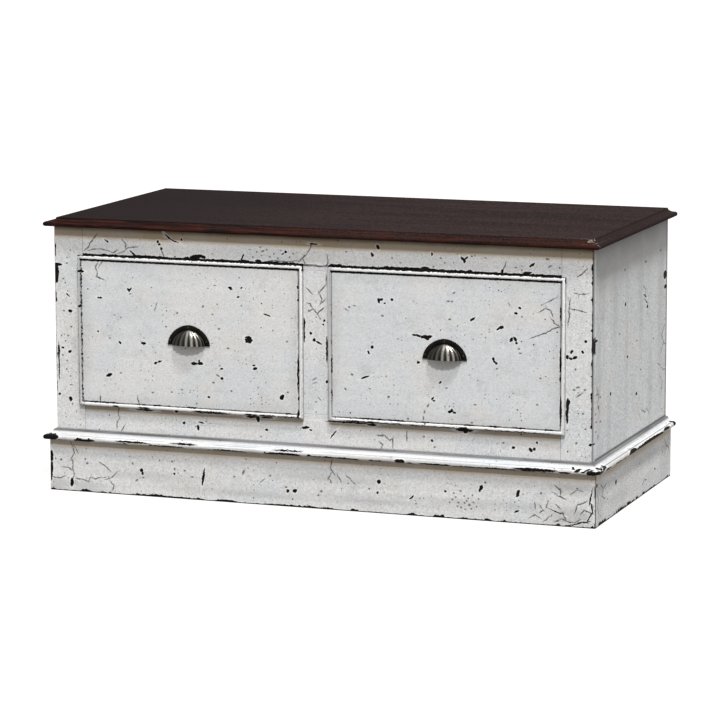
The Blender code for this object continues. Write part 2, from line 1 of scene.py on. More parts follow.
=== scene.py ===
"""Looks of a low chest with two drawers: chipped white paint, a dark stained top and bronze cup pulls."""
import json
import math

import bmesh
import bpy
from mathutils import Matrix, Vector

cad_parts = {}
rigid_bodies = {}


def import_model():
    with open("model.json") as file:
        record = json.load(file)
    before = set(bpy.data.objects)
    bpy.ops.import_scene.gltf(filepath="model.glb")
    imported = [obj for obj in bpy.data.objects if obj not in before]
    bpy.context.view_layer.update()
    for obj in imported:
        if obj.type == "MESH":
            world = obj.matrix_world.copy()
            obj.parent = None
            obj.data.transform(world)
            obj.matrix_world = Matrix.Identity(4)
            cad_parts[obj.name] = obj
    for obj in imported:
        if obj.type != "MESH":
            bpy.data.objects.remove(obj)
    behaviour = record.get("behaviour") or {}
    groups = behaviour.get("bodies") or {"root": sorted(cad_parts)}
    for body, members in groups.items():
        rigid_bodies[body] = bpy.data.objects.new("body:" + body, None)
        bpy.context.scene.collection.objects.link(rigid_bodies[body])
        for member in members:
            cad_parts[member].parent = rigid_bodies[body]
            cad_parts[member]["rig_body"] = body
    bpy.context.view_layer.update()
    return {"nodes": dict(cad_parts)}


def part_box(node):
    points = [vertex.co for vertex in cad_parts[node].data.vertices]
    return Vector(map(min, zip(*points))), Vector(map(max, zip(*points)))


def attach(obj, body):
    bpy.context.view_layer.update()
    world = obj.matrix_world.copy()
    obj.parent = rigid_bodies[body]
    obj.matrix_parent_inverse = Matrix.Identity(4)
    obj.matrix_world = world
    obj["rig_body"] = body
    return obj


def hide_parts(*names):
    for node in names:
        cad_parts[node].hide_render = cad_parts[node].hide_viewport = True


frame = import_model()
NODES = frame["nodes"]

# The photograph's view, fitted to the corners of the chest
VIEW_AZIMUTH = math.radians(20.156)
VIEW_ELEVATION = math.radians(9.293)
VIEW_ROLL = math.radians(-0.155)
VIEW_DISTANCE = 6.529
VIEW_TARGET = Vector((-0.0084, 0.00565, 0.2398))
VIEW_LENS = 168.6
VIEW_SENSOR = 36.0
VIEW_END = 200.0

# Lamps: azimuth from the front to the right, elevation, level, spread (degrees) and colour.
# A level of 1 shows a colour facing the lamp as it is written.
LAMPS = {
    "key_lamp": (16.0, 52.0, 0.66, 5.0, (1.0, 1.0, 1.0)),
    "high_lamp": (38.0, 70.0, 0.76, 6.0, (1.0, 1.0, 1.0)),
    "right_lamp": (78.0, 40.0, 0.155, 40.0, (0.92, 0.96, 1.0)),
    "back_lamp": (214.0, 22.0, 0.40, 50.0, (1.0, 1.0, 1.0)),
}
# Lamps that shiny faces do not mirror
NO_GLINT = ("back_lamp",)
AMBIENT = (0.445, 0.45, 0.465)
WHITE = (1.0, 1.0, 1.0)
FLOOR_COLOUR = (0.20, 0.185, 0.165)
FLOOR_GLOW = 0.78
FLOOR_REACH = 60.0
FLOOR_DROP = 0.0004

# Colours
PAINT = (0.655, 0.655, 0.65)
PAINT_COOL = (0.61, 0.625, 0.637)
PAINT_WARM = (0.64, 0.625, 0.60)
SMUDGE = (0.30, 0.30, 0.29)
# Painted shade: brown below the top, the drawers' lips and the moulding, warm like glaze, and near black
# right under the top
GLAZE_SHADE = (0.46, 0.375, 0.27)
SHADOW_BROWN = (0.375, 0.32, 0.255)
DEEP_SHADE = (0.10, 0.075, 0.055)
# Greys for grime in joints and smears, also used as painted shade below ledges, in the cove and inside the
# drawers' beads
SEAM_GREY_AND_SHADE = (0.09, 0.09, 0.095)
GRIME_AND_SHADE = (0.33, 0.33, 0.325)
# A painted highlight: the lit bead of the drawer fronts and a pale rim round chips
HIGHLIGHT_WHITE = (0.78, 0.78, 0.77)
FAINT = (0.08, 0.076, 0.074)
UNDERCOAT = (0.004, 0.0036, 0.0036)
UNDERCOAT_BROWN = (0.016, 0.011, 0.009)
STAIN = (0.0172, 0.0097, 0.0093)
STAIN_LIGHT = (0.029, 0.0172, 0.0152)
# The darkest stain is also painted shade towards the top's left end and on faces turned left
STAIN_DARK_AND_SHADE = (0.0082, 0.0050, 0.0051)
STAIN_RED = (0.044, 0.0125, 0.008)
# Painted shade on the top's faces turned right
STAIN_END_SHADE = (0.0185, 0.0115, 0.011)
STAIN_SCUFF = (0.30, 0.26, 0.23)
WOOD = (0.52, 0.36, 0.20)
WOOD_DARK = (0.36, 0.22, 0.11)
BRONZE = (0.042, 0.039, 0.034)
# Bright bronze where the ribs are rubbed, and for the painted highlight on the ribs right of the middle
BRONZE_WORN_AND_HIGHLIGHT = (0.34, 0.32, 0.29)
BRONZE_GROOVE = (0.005, 0.0045, 0.004)

PAINT_SPECULAR = 0.07
PAINT_ROUGHNESS = 0.55
BARE_ROUGHNESS = 0.75
WOOD_SPECULAR = 0.3
WOOD_ROUGHNESS = 0.7
STAIN_ROUGHNESS = 0.4
STAIN_COAT = 0.05
STAIN_COAT_ROUGHNESS = 0.3
BRONZE_ROUGHNESS = 0.30
FLOOR_ROUGHNESS = 0.9
BUMP_DEPTH = 0.001
BUMP_STRENGTH = 0.6

# Noise: features per millimetre, detail and roughness
CLOUDS = (0.007, 3.0, 0.55)
BLUSH = (0.011, 3.0, 0.5)
SMEARS = (0.03, 5.0, 0.7)
GRAIN = (0.16, 4.0, 0.75)
TOOTH = (0.34, 3.0, 0.7)
WEAR_RUN = (0.035, 3.0, 0.6)
WEAR_ROUGH = (0.16, 3.0, 0.5)
PATINA = (0.35, 4.0, 0.65)
LIP_STROKES = (0.03, 3.0, 0.55)
LIP_DOTS = (0.22, 3.0, 0.6)

# Plain noise: features per millimetre
SPECK_CLUSTERS = 0.013
GRIT_CLUSTERS = 0.022
HAIR_PATCHES = 0.009
CRACK_SHADES = 0.11
UNDERCOAT_PATCHES = 0.05
LIP_WAVER = 0.2
SCUFF_BREAKS = 0.5

# Stretched noise: features per millimetre along each axis, detail and roughness
STAIN_GRAIN = ((0.005, 0.09, 0.09), 5.0, 0.65)
STAIN_PORES = ((0.03, 0.9, 0.9), 2.0, 0.6)
STAIN_BANDS = ((0.002, 0.012, 0.012), 2.0, 0.5)
STAIN_FLECKS = ((0.28, 0.08, 0.4), 3.0, 0.7)
STAIN_TOOTH = ((0.45, 0.12, 0.45), 2.0, 0.5)
STAIN_STREAKS = ((0.012, 0.3, 0.3), 4.0, 0.6)

# How outlines are shaken: features per millimetre, reach in millimetres and detail
RAGGED = (0.15, 4.6, 2.0)
RAGGED_FINE = (0.5, 1.8, 2.0)
RAGGED_SPOTS = (0.3, 1.6, 2.0)
RAGGED_SCUFFS = (0.2, 3.0, 3.0)
WANDER = (0.03, 22.0, 2.0)
STAIN_BENDS = (0.01, 14.0, 2.0)
WOOD_BENDS = (0.006, 30.0, 2.0)
SHAKE_ROUGHNESS = 0.6

# Specks: cells per millimetre, how much the size grows with chance, its least and the soft edge
SPECKS = (0.045, 1.7, -0.25, 0.35)
GRIT = (0.13, 1.3, -0.1, 0.3)

# Shifts that keep noises and seeds apart
BLUSH_SHIFT = (311.0, 97.0, 0.0)
SMEARS_SHIFT = (83.0, 219.0, 0.0)
GRIT_SHIFT = (17.0, 71.0, 0.0)
HAIR_SHIFT = (57.0, 433.0, 0.0)
SEED_STEP = 91.0
EDGE_SEED = 0.31
EDGE_SHIFT = (37.0, 53.0, 0.0)
WOOD_SHIFT = (71.0, 43.0, 29.0)

# Other numbers of the looks: scales per millimetre, and sizes in millimetres
BRUSH_LENGTH = 0.004
BRUSH = (4.0, 0.6)
WOOD_LENGTH = 0.006
WOOD_WIDTH = 0.12
WOOD_RINGS = 46.0
WOOD_FIBRES = 6.0
WOOD_GRAIN = (4.0, 0.6)
WOOD_FINE_GRAIN = (3.0, 0.6)
SIDE_SQUEEZE = (0.45, 1.0, 1.0)
CRACK_WIDTH = 2.1
CRACK_OVERLAP = 1.3
PLATE_SCALE = 0.026
QUIRK_INSET = 8.2
FLATTEN = (1.0, 1.0, 0.0)

# Painted shade below a ledge, in layers: its reach down, strength, colour and how much of the reach is its
# soft end
RAIL_SHADE = ((26.0, 0.85, GLAZE_SHADE, 0.3), (11.0, 0.95, DEEP_SHADE, 1.0), (80.0, 0.08, GLAZE_SHADE, 1.0))
LOW_RAIL_SHADE = ((17.0, 0.9, SHADOW_BROWN, 0.5), (50.0, 0.12, GRIME_AND_SHADE, 1.0))
SIDE_SHADE = ((120.0, 0.95, GRIME_AND_SHADE, 1.0), (45.0, 0.6, SEAM_GREY_AND_SHADE, 1.0), (220.0, 0.3, GRIME_AND_SHADE, 1.0))
PLINTH_SHADE = ((19.0, 0.75, GLAZE_SHADE, 0.45), (60.0, 0.13, GRIME_AND_SHADE, 1.0))
PLINTH_END_SHADE = ((20.0, 0.7, GLAZE_SHADE, 0.6),)
# Grey grime in the joint at the moulding's cap
COVE_SEAM_DIRT = (4.2, 0.9, SEAM_GREY_AND_SHADE, 0.6)

# Painted shade down the whole of the moulding's cove, darkest at the case: strength, colour and soft end
COVE_SHADE = (0.22, GRIME_AND_SHADE, 1.0)

# Worn arrises: least width, how much wider they get, and where the wear starts if not everywhere
# The rail's line above the lips is also painted shade in the gap above them
RAIL_ARRIS = (3.4, 2.0)
STILE_ARRIS = (1.2, 2.4, 182.0)
SIDE_ARRIS = (1.3, 2.0)
FOOT_ARRIS = (1.9, 3.2)
FOOT_END_ARRIS = (2.2, 4.5)
PLINTH_CORNER = (0.6, 1.4)
NOSE_ARRIS = (1.6, 3.4)
NOSE_END_ARRIS = (1.8, 4.0)

# Grey lines in corners: width and strength
FRONT_SEAM = (2.6, 0.5)
SIDE_SEAM = (4.5, 0.8)
PLINTH_SEAM = (8.0, 0.6)
NOSE_SEAM = (2.2, 0.55)
NOSE_END_SEAM = (2.2, 0.7)
CAP_SEAM = (4.0, 0.8)

# Darker ends of a stile and of a side: how far from its arris they start and end, and the strength
STILE_FLANK = (18.0, 2.0, 0.75)
SIDE_FLANK = (-14.0, -3.0, 0.8)

# How the paints differ from the plain one, by the words that painted explains
LEFT_DRAWER_COAT = {"hairs": 0.0, "coarse": 1.25, "dotted": True}
RIGHT_DRAWER_COAT = {"hairs": 0.0, "coarse": 1.25, "cool": 0.12}
RAIL_COAT = {"coarse": 1.8}
MUNTIN_COAT = {"streaks": "Z", "coarse": 1.6}
STILE_COAT = {"streaks": "Z", "coarse": 2.0}
SIDE_COAT = {"across": "Y", "streaks": "Z", "coarse": 2.1, "brushed": 0.05, "fibres": 0.035, "cool": 0.1}
PLINTH_COAT = {"hairs": 0.2, "coarse": 1.9, "brushed": 0.05, "fibres": 0.08, "smudged": 0.4}
PLINTH_END_COAT = {"across": "Y", "coarse": 2.7, "brushed": 0.06, "fibres": 0.05}
# The moulding's tone darkens its paint: partly its greyer paint, partly painted shade for faces turned up to
# the lamps
MOULDING_COAT = {"tone": 0.90, "hairs": 0.0, "brushed": 0.36, "fibres": 0.22}

# The left end's marks are a turned copy of the right end's: where their zero comes, and where chips stop
SIDE_MIRROR = 520.0
PLINTH_MIRROR = 510.0
MOULDING_MIRROR = 480.0
LEFT_CHIPS_END = 420.0

# Sizes of the mouldings, as in the CAD, in metres
SEAT_GAP = 0.0003
TOP_BEAD_RADIUS = 0.0045
TOP_FILLET = 0.0025
TOP_COVE_WIDTH = 0.0125
MOULDING_NOSE_RADIUS = 0.005
MOULDING_FILLET = 0.0015
MOULDING_CAP_RADIUS = 0.0035
MOULDING_CAP_FLAT = 0.0025
LIP_THICKNESS = 0.008
LIP_REBATE = 0.0105
REBATE_DEPTH = 0.012
BEAD_RADIUS = 0.0035
QUIRK_WIDTH = 0.0012
FIELD_SINK = 0.0015
PULL_WIDTH = 0.086
PULL_HEIGHT = 0.0385
PULL_SQUEEZE = 1.09
FLANGE_WIDTH = 0.009
FLANGE_THICKNESS = 0.002
FLANGE_ROUND = 0.0007
DOME_DEPTH = 0.0155
DOME_WALL = 0.0026
DOME_DROP = 0.0004
RIB_COUNT = 9
RIB_DEPTH = 0.0016
RIB_START = 0.12
PIN_SHANK_RADIUS = 0.001
PIN_HEAD_HEIGHT = 0.0013
PIN_HEAD_START = 275

# A painted highlight on the ribs: where round the dome it is brightest, how far round it reaches, and the
# share of brightness left elsewhere
HIGHLIGHT_AT = math.radians(70)
HIGHLIGHT_REACH = math.radians(46)
HIGHLIGHT_LEAST = 0.58

# How bright the bronze is rubbed, from 0 in a groove to 1
WEAR_INSIDE = 0.3
WEAR_DOME_TOP = 0.9
WEAR_FLANGE_EDGE = 0.25
WEAR_FLANGE_INSIDE = 0.1
WEAR_PIN_TOP = 0.75
WEAR_PIN_FALL = 0.6

# Steps that curves are drawn in, and limits for joining and rounding faces
ARC_STEPS = 12
RIB_STEPS = 10
DOME_STEPS = 20
RIM_STEPS = 6
FLANGE_STEPS = 56
FLANGE_ROUND_STEPS = 4
PIN_SIDES = 24
PIN_HEAD_STEPS = 8
SMOOTH_ANGLE = math.radians(35)
FLAT_ANGLE = math.radians(1)
ARRIS_ANGLE = math.radians(40)
ARRIS = 0.0006
ARRIS_STEPS = 2
WELD = 0.00001

BODY_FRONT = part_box("top_rail")[0].y
BODY_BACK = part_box("right_side_panel")[1].y
HALF_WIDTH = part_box("right_stile")[1].x
TOP_LOW, TOP_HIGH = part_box("top_panel")
FIELD_FACE = BODY_FRONT - LIP_THICKNESS + FIELD_SINK
MM = 1000.0
TURN_STEP = 10
HALF_TURN = 180


def dots(long, wide, *middles):
    """Marks of one size."""
    return [(across, up, long, wide) for across, up in middles]


# Marks of wear, read off the photograph, in millimetres. A chip, a faint spot or a smear is its
# middle across and up, its length, its width and, where it is turned, its turn in degrees. A crack is the
# points it runs through. On the drawers they are measured from the lower left corner of the lip, on the ends
# from the front of the case, and elsewhere from the middle of the chest. Heights are from the floor, apart
# from the drawers'. On the top, up means towards the back.
LEFT_DRAWER = {
    "chips": [
        (7, 259, 14, 4), (106, 227, 7, 4, -50), (110, 229, 8, 3, 35), (47, 210, 9, 3), (5, 192, 6, 5),
        (42, 145, 4, 3.5), (87, 125, 6, 4, -50), (136, 126.5, 10, 4.5, 5), (160, 90, 6, 5, 30),
        (168, 93, 9, 2.5, 15), (64, 62, 12, 5, 25), (315, 240, 9, 5, -25), (337, 242, 4, 3),
        (330, 224, 5, 3.5), (388, 193, 14, 2.5, -15), (350, 149, 13, 5), (355, 143, 6, 9),
        (350, 140, 10, 4, -10), (346, 144, 5, 4), (351, 145, 7, 6), (271, 2, 60, 3), (354, 2, 24, 3),
        (388, 2, 30, 2.5), (135, 2, 20, 2.5), (77, 2, 10, 2.5), (430, 2, 36, 2), (240, 93, 11, 5, -5),
        (252, 94, 11, 6, 5), (250, 99, 5, 4, 60), (363, 90, 9, 5, 10), (361, 96, 5, 3), (296, 86, 6, 3.5),
        (296, 68, 6, 4.5), (269, 31, 5, 4), (417, 39, 8, 11, -20), (203, 0, 8, 3), (450, 248, 4, 6),
        (450, 224, 3, 4), (450, 85, 3, 60), (450, 8, 4, 16),
    ],
    "faint": [
        (110, 220, 4, 2.5, 20), (77, 178, 3, 2.5), (90, 174, 3, 2), (206, 188, 4, 3, 30), (154, 234, 3, 2),
        (337, 208, 3, 2.5), (259, 203, 5, 3, 60), (291, 162, 5, 3, 20), (309, 126, 5, 3),
        (288, 73, 8, 2.5, -30), (279, 59, 5, 3),
        *dots(4, 2, (66, 133), (88, 67), (214, 42), (283, 244)),
        *dots(4, 2.5, (183, 161), (193, 36), (278, 189)),
        *dots(4, 3, (154, 33), (428, 145), (315, 45), (429, 49)),
    ],
    "cracks": [
        [(43, 276), (38, 268), (42, 258), (40, 250), (55, 245)], [(53, 280), (46, 270)],
        [(164, 204), (160, 192)], [(45, 8), (44, 20)], [(125, 8), (123, 22)],
    ],
}
RIGHT_DRAWER = {
    "chips": [
        (101, 231, 5, 9), (106, 233, 7, 4, 20), (112, 226, 4, 3), (127, 234, 5.5, 5), (88, 144, 5, 5.5),
        (81, 133, 6, 3, -50), (176, 169.5, 18, 4, -10), (193, 167.5, 18, 7, 5), (200, 169.5, 10, 4),
        (196, 164, 7, 4), (178, 120, 6.5, 5, 15), (74, 86, 14, 2.5, 25), (206, 54, 7, 3, 50),
        (209, 50, 5, 3), (221, 85, 6, 3, 35), (240, 31, 7, 5, 10), (243, 34, 5, 6),
        (283, 205, 10, 3.5, 30), (338, 193, 10, 5, 15), (332, 189, 6, 3, 30), (373, 230, 5, 4.5, -30),
        (366, 220, 6, 3.5), (357, 171, 9, 5, 50), (365, 172, 5, 9, 30), (323, 134, 5, 6, 40),
        (325, 129, 4, 6, 30), (451, 133, 4, 24), (452, 45, 4, 48), (63, 2, 60, 2.5), (85, 1, 12, 5),
        (120, 2, 56, 2), (266, 1, 20, 6), (204, 1.5, 90, 1.6), (360, 1.5, 120, 1.6),
        *dots(5, 4, (249, 30), (367, 165), (328, 126)),
    ],
    "faint": [
        (108, 203, 5, 3.5), (53, 219, 5, 2), (37, 211, 8, 1.5, -30), (48, 90, 5, 4, -40),
        (35, 62, 5, 3, -30), (120, 52, 5, 4), (83, 65, 4, 2), (236, 236, 5, 3), (239, 203, 5, 3.5),
        (247, 252, 5, 3, 30), (353, 236, 8, 1.5, -60), (374, 147, 5, 2.5), (413, 103, 3.5, 3),
        (288, 47, 5, 2.5), (197, 40, 3, 7, -30), (190, 28, 3, 6, -10), (188, 16, 2.5, 7),
        (191, 6, 3, 5, 10),
        *dots(
            4, 3, (43, 216), (233, 75), (158, 13), (243, 236), (372, 155), (330, 116), (407, 54),
            (282, 13),
        ),
    ],
    "cracks": [
        [(432, 215), (440, 205), (450, 200)], [(395, 176), (410, 182), (424, 188), (440, 197), (452, 199)],
        [(420, 240), (440, 252)], [(410, 225), (422, 232), (432, 228), (436, 218)],
    ],
}
# On the top rail, the long thin chips just above the drawers, near 458 to 460 up, are worn paint and painted
# shade in the gap above the lips
TOP_RAIL = {
    "chips": [
        (-499, 456, 4, 3), (-370, 464, 14, 3, -40), (-335, 459.5, 74, 4), (-255, 458.3, 450, 2.8),
        (-319, 489, 4, 5, -30), (-312, 475.5, 5, 4), (-298, 499, 14, 3, -40), (-286, 492, 16, 2, -15),
        (-425, 486, 8, 2.5, -20), (-240, 464, 26, 7, 6), (-228, 464.5, 14, 6, -20), (-200, 459, 44, 2),
        (-147, 467, 12, 2.8, 60), (-115, 461.5, 12, 5), (-66, 476.5, 5, 3, 20), (-60, 480, 5, 4, 40),
        (-4, 498, 14, 3), (122, 497, 6, 9, 20), (111, 483.5, 4, 7, 30), (214, 463, 14, 4, 5),
        (200, 460, 110, 4), (270, 458.5, 430, 3), (178, 461, 10, 3), (227, 489, 4, 6, 10),
        (286, 483, 9, 4, -40), (293, 484, 8, 3, 40), (290, 479, 4, 7), (362, 463, 4, 7),
        (410, 462, 16, 4.5, 10), (430, 459, 70, 2.5), (419, 477, 11, 4, 40),
        *dots(4, 4, (-504, 462), (-316, 484), (-270, 495)),
    ],
    "faint": [
        (-106, 480, 6, 3, 20), (448, 489, 7, 3), (453, 476, 8, 2.5, 30), (471, 474, 4, 3.5),
        *dots(4, 3, (304, 488), (388, 471), (244, 482)),
        *dots(
            3, 3, (-118, 478), (-98, 483), (-84, 476), (-76, 468), (-52, 471), (-126, 468), (-111, 487),
            (150, 478), (252, 474),
        ),
        *dots(3, 2, (-108, 472), (-70, 483), (-45, 478), (-132, 482)),
        *dots(4, 2, (-92, 470), (60, 486), (166, 470), (330, 486)),
    ],
    "cracks": [
        [(-480, 500), (-480, 460)], [(-470, 466), (-462, 474), (-458, 482), (-446, 496)],
        [(-460, 468), (-440, 470), (-424, 468), (-412, 464), (-402, 470)],
        [(-400, 464), (-388, 468), (-380, 475), (-362, 477)], [(-392, 490), (-384, 480), (-386, 472)],
        [(-312, 475), (-306, 460)], [(-105, 460), (-80, 463), (-60, 462), (-40, 464)],
        [(-8, 499), (-10, 492), (-18, 478), (-27, 470), (-35, 463)], [(-27, 470), (-20, 458)],
        [(22, 478), (24, 465), (20, 457)], [(364, 466), (370, 479)], [(-24, 457), (0, 456), (24, 457)],
    ],
}
BOTTOM_RAIL = {
    "chips": [
        (-269, 145, 6, 5, 20), (-234, 147.5, 10, 2.5, -10), (-240, 138, 5, 9, 10), (-215, 167.5, 64, 3),
        (-285, 166, 6, 4), (-350, 165, 30, 3), (-130, 165, 20, 4), (-118, 161, 6, 10), (-100, 165, 20, 3),
        (-101, 142, 5, 5), (60, 166, 70, 3), (110, 164, 16, 4), (290, 165, 30, 5), (293, 162, 8, 5),
        (228, 141, 5, 5), (385, 138.5, 7, 5), (418, 136, 8, 6, -35), (425, 138, 6, 6, 40),
        (430, 150.5, 4.5, 4.5), (33, 141, 16, 2.5, 50), (-22, 151, 14, 5, 10), (-12, 147, 5, 3),
    ],
    "faint": [*dots(4, 3, (233, 130), (366, 146), (212, 148))],
    "cracks": [
        [(-404, 166), (-406, 154), (-402, 147), (-408, 138), (-409, 126)], [(-393, 132), (-400, 120)],
        [(122, 145), (135, 145), (145, 137), (151, 140), (151, 125)], [(125, 133), (131, 128), (126, 118)],
        [(178, 155), (179, 140)],
    ],
}
RIGHT_STILE = {
    "chips": [
        (495, 322, 4, 8, -25), (515, 322, 5, 5, 30), (521, 342, 5, 6), (501, 311, 9, 5, 20),
        (493, 309, 6, 4, -20), (487, 312, 5, 7), (487, 206, 5, 30), (488, 225, 6, 20),
        (490, 230, 5, 8, 20), (531, 152, 6, 5), (534, 332, 2.5, 25),
    ],
    "faint": [
        (502, 290, 3, 4), (500, 252, 5, 3), (507, 257, 7, 3, 10), (508, 209, 3, 3), (505, 154, 4, 4),
        *dots(4, 3, (520, 253), (517, 209), (522, 181)),
    ],
    "cracks": [
        [(500, 430), (512, 427), (524, 430)], [(495, 400), (510, 397), (520, 396)],
        [(505, 238), (515, 248)], [(492, 418), (489, 405), (490, 390), (488, 370)],
        [(505, 460), (513, 464), (522, 474)],
    ],
}
LEFT_STILE = {
    "chips": [
        (-530, 420, 9, 36), (-526, 437, 14, 5), (-503, 348, 8, 5), (-505, 270, 7, 4, 40),
        (-519, 277, 5, 4), (-528, 270, 4, 22), (-528, 250, 2.5, 60), (-505, 178, 6, 9, 20),
        (-528, 186, 5, 4), (-507, 379, 9, 2.5, -35),
    ],
    "faint": [
        (-503, 205, 5, 2), (-516, 410, 4, 2, 40),
        *dots(4, 3, (-516, 348), (-501, 318), (-501, 168), (-508, 300), (-520, 262), (-508, 440)),
        *dots(3, 3, (-512, 235), (-504, 222), (-522, 300), (-514, 290), (-511, 252), (-512, 402)),
    ],
}
MUNTIN = {
    "chips": [
        (-24, 346, 4, 22), (-24, 325, 3, 22), (-11, 330, 6, 4, -45), (-4, 318, 6, 6), (5, 313, 10, 3, -25),
        (16, 355, 4, 4), (14, 348, 4, 4), (21, 300, 3.5, 42), (21, 240, 5, 6),
    ],
    "faint": [(-4, 244, 9, 2, 30), (-3, 237, 8, 1.5, 20), (6, 207, 8, 1.5, -45), (-1, 201, 4, 2)],
    "cracks": [
        [(20, 440), (21, 424), (6, 408), (11, 394), (8, 386), (18, 394)], [(-18, 414), (-8, 404)],
        [(14, 378), (2, 368), (-6, 376), (-16, 371)], [(-6, 376), (-12, 385), (-18, 386)],
        [(2, 368), (8, 358)],
    ],
}
PLINTH_FRONT = {
    "smears": [
        (-534, 10, 60, 26), (-470, 12, 60, 14), (-330, 40, 120, 12), (20, 60, 160, 14), (330, 30, 220, 12),
        (500, 20, 90, 30), (120, 22, 180, 8), (-120, 20, 200, 8), (500, 70, 70, 18),
    ],
    "chips": [
        (-542, 66, 7, 20), (-542, 44, 6, 22), (-543, 28, 4, 18), (-500, 17, 7, 16, -5), (-354, 50, 7, 7),
        (-351, 44, 4, 6), (-286, 48, 4, 4), (-226, 45, 30, 4, 80), (-55, 30, 6, 5.5), (-40, 31, 9, 6, 20),
        (127, 60, 7, 8), (125, 39, 4, 5), (191, 34, 10, 3, 40), (257, 51, 5, 4), (327, 62, 6, 10, -20),
        (324, 57, 4, 5), (398, 56, 6, 13, -15), (395, 22, 9, 2.5, 25), (-290, 2, 60, 3), (-180, 2, 40, 4),
        (-60, 2, 70, 3), (10, 1.5, 60, 3), (190, 1, 20, 4), (290, 1, 50, 3), (330, 1, 30, 3),
        (536, 56, 22, 2.2, 80), (539, 36, 16, 2.2, 100), (535, 22, 16, 2.2, 60), (524, 11, 20, 2, 10),
        (508, 6, 14, 1.8, 20), (472, 26, 14, 1.6, -20),
    ],
    "faint": [
        (-522, 60, 5, 4), (-467, 56, 5, 4), (-364, 30, 6, 3, 40), (-249, 44, 5, 3), (-144, 60, 4, 9, -15),
        (-106, 46, 12, 1.5, 35), (-58, 37, 5, 3), (304, 28, 5, 4, 40), (478, 69, 3, 4),
        (-372, 62, 3, 5, 20),
        *dots(
            4, 3, (-471, 64), (-290, 71), (-264, 55), (-163, 50), (-90, 57), (108, 45), (7, 26), (271, 36),
            (295, 31), (283, 31), (288, 22), (287, 53), (-350, 36),
        ),
        *dots(4, 4, (-285, 57), (13, 34), (335, 72), (442, 59)),
        *dots(
            3, 3, (294, 44), (302, 40), (310, 46), (278, 41), (299, 35), (312, 33), (281, 24), (308, 21),
            (318, 26), (296, 19), (266, 30), (274, 48), (322, 40),
        ),
    ],
    "cracks": [
        [(-500, 95), (-494, 75), (-502, 62), (-497, 60), (-498, 44), (-494, 32), (-500, 22)],
        [(-494, 90), (-488, 78)], [(-540, 24), (-525, 25), (-514, 28)],
        [(-520, 46), (-508, 46), (-500, 42)],
        [(-490, 25), (-475, 24), (-465, 21), (-460, 29), (-450, 27), (-440, 30), (-430, 31)],
        [(-440, 59), (-428, 52), (-418, 44)], [(-428, 27), (-415, 33), (-404, 44)],
        [(-418, 24), (-412, 16), (-414, 8)], [(35, 95), (31, 80), (35, 72), (27, 60), (33, 52)],
        [(35, 72), (40, 66)], [(45, 66), (52, 55)], [(65, 66), (78, 54)],
        [
            (540, 75), (536, 60), (534, 50), (541, 40), (539, 28), (532, 18), (531, 10), (520, 10),
            (508, 5), (490, 3),
        ],
        [(448, 8), (460, 18), (464, 20)], [(460, 30), (475, 25), (484, 25), (486, 18), (490, 13)],
        [(506, 28), (512, 42), (520, 45)], [(465, 62), (475, 56), (488, 52)], [(430, 40), (432, 30)],
        [(420, 12), (430, 18), (440, 13)], [(470, 8), (480, 14), (492, 10), (505, 8), (515, 14)],
        [(455, 45), (452, 34), (462, 30)], [(520, 45), (528, 50)], [(478, 34), (470, 40)],
        [(440, 36), (446, 28), (440, 22)], [(500, 62), (510, 70), (520, 68)],
        [(470, 75), (480, 66), (478, 58)], [(538, 28), (524, 33), (518, 26)],
    ],
}
MOULDING_FRONT = {
    "chips": [
        (-542, 105, 38, 11), (-468, 102.5, 40, 5), (-482, 104, 4, 5), (-459, 104, 4, 5),
        (-368, 105, 56, 3, -2), (-263, 107.5, 46, 2.5), (-97, 102, 4, 4), (-58, 102, 58, 4),
        (-51, 108, 46, 2), (-8, 102, 8, 3), (171, 103, 18, 8), (116, 100.5, 10, 3), (304, 100, 40, 3),
        (433, 104, 76, 5.5, 2), (489, 102, 20, 4), (513, 107, 12, 4, 20), (503, 110, 7, 2.5, -20),
        (539, 102.5, 18, 5, -10), (552, 105, 8, 6, 30), (530, 108, 8, 2, 20), (545, 104, 16, 7),
        (536, 107, 10, 3, 20), (524, 105, 6, 3), (-300, 101, 60, 2.5), (-180, 101, 40, 3),
        (40, 101, 70, 2.5), (240, 101, 50, 3), (360, 101, 60, 2.5),
    ],
}
RIGHT_SIDE = {
    "smears": [
        (60, 420, 40, 130), (150, 400, 30, 160), (330, 380, 26, 190), (470, 330, 40, 330),
        (40, 260, 30, 260), (230, 300, 16, 200), (110, 180, 24, 120), (400, 200, 30, 140),
    ],
    "chips": [
        (218, 380, 9, 7), (372, 355, 10, 6), (368, 364, 8, 3), (355, 378, 20, 3, -15), (235, 279, 9, 5),
        (122, 227, 9, 6), (300, 198, 10, 6), (500, 400, 24, 16), (504, 376, 20, 8), (25, 340, 14, 5),
    ],
    "faint": [
        (212, 446, 8, 6), (358, 443, 14, 4), (465, 452, 10, 4), (32, 240, 10, 4), (42, 215, 9, 5, 20),
        (28, 190, 10, 3), (40, 160, 9, 4, 40), (18, 262, 8, 4), (14, 226, 8, 5), (12, 180, 8, 5),
        (16, 150, 9, 4),
        *dots(9, 3, (22, 205), (54, 232), (300, 300), (420, 286)),
        *dots(8, 3, (26, 172), (56, 186), (180, 330), (330, 240)),
    ],
    "cracks": [
        [(450, 232), (472, 226), (490, 215), (508, 213)], [(340, 160), (362, 152), (376, 157), (390, 147)],
        [(500, 300), (480, 284), (494, 268), (476, 252)], [(494, 268), (510, 262)],
        [(470, 205), (488, 190), (480, 172)], [(345, 398), (360, 388), (352, 372), (372, 362)],
        [(30, 252), (44, 236), (34, 222), (48, 206)],
    ],
}
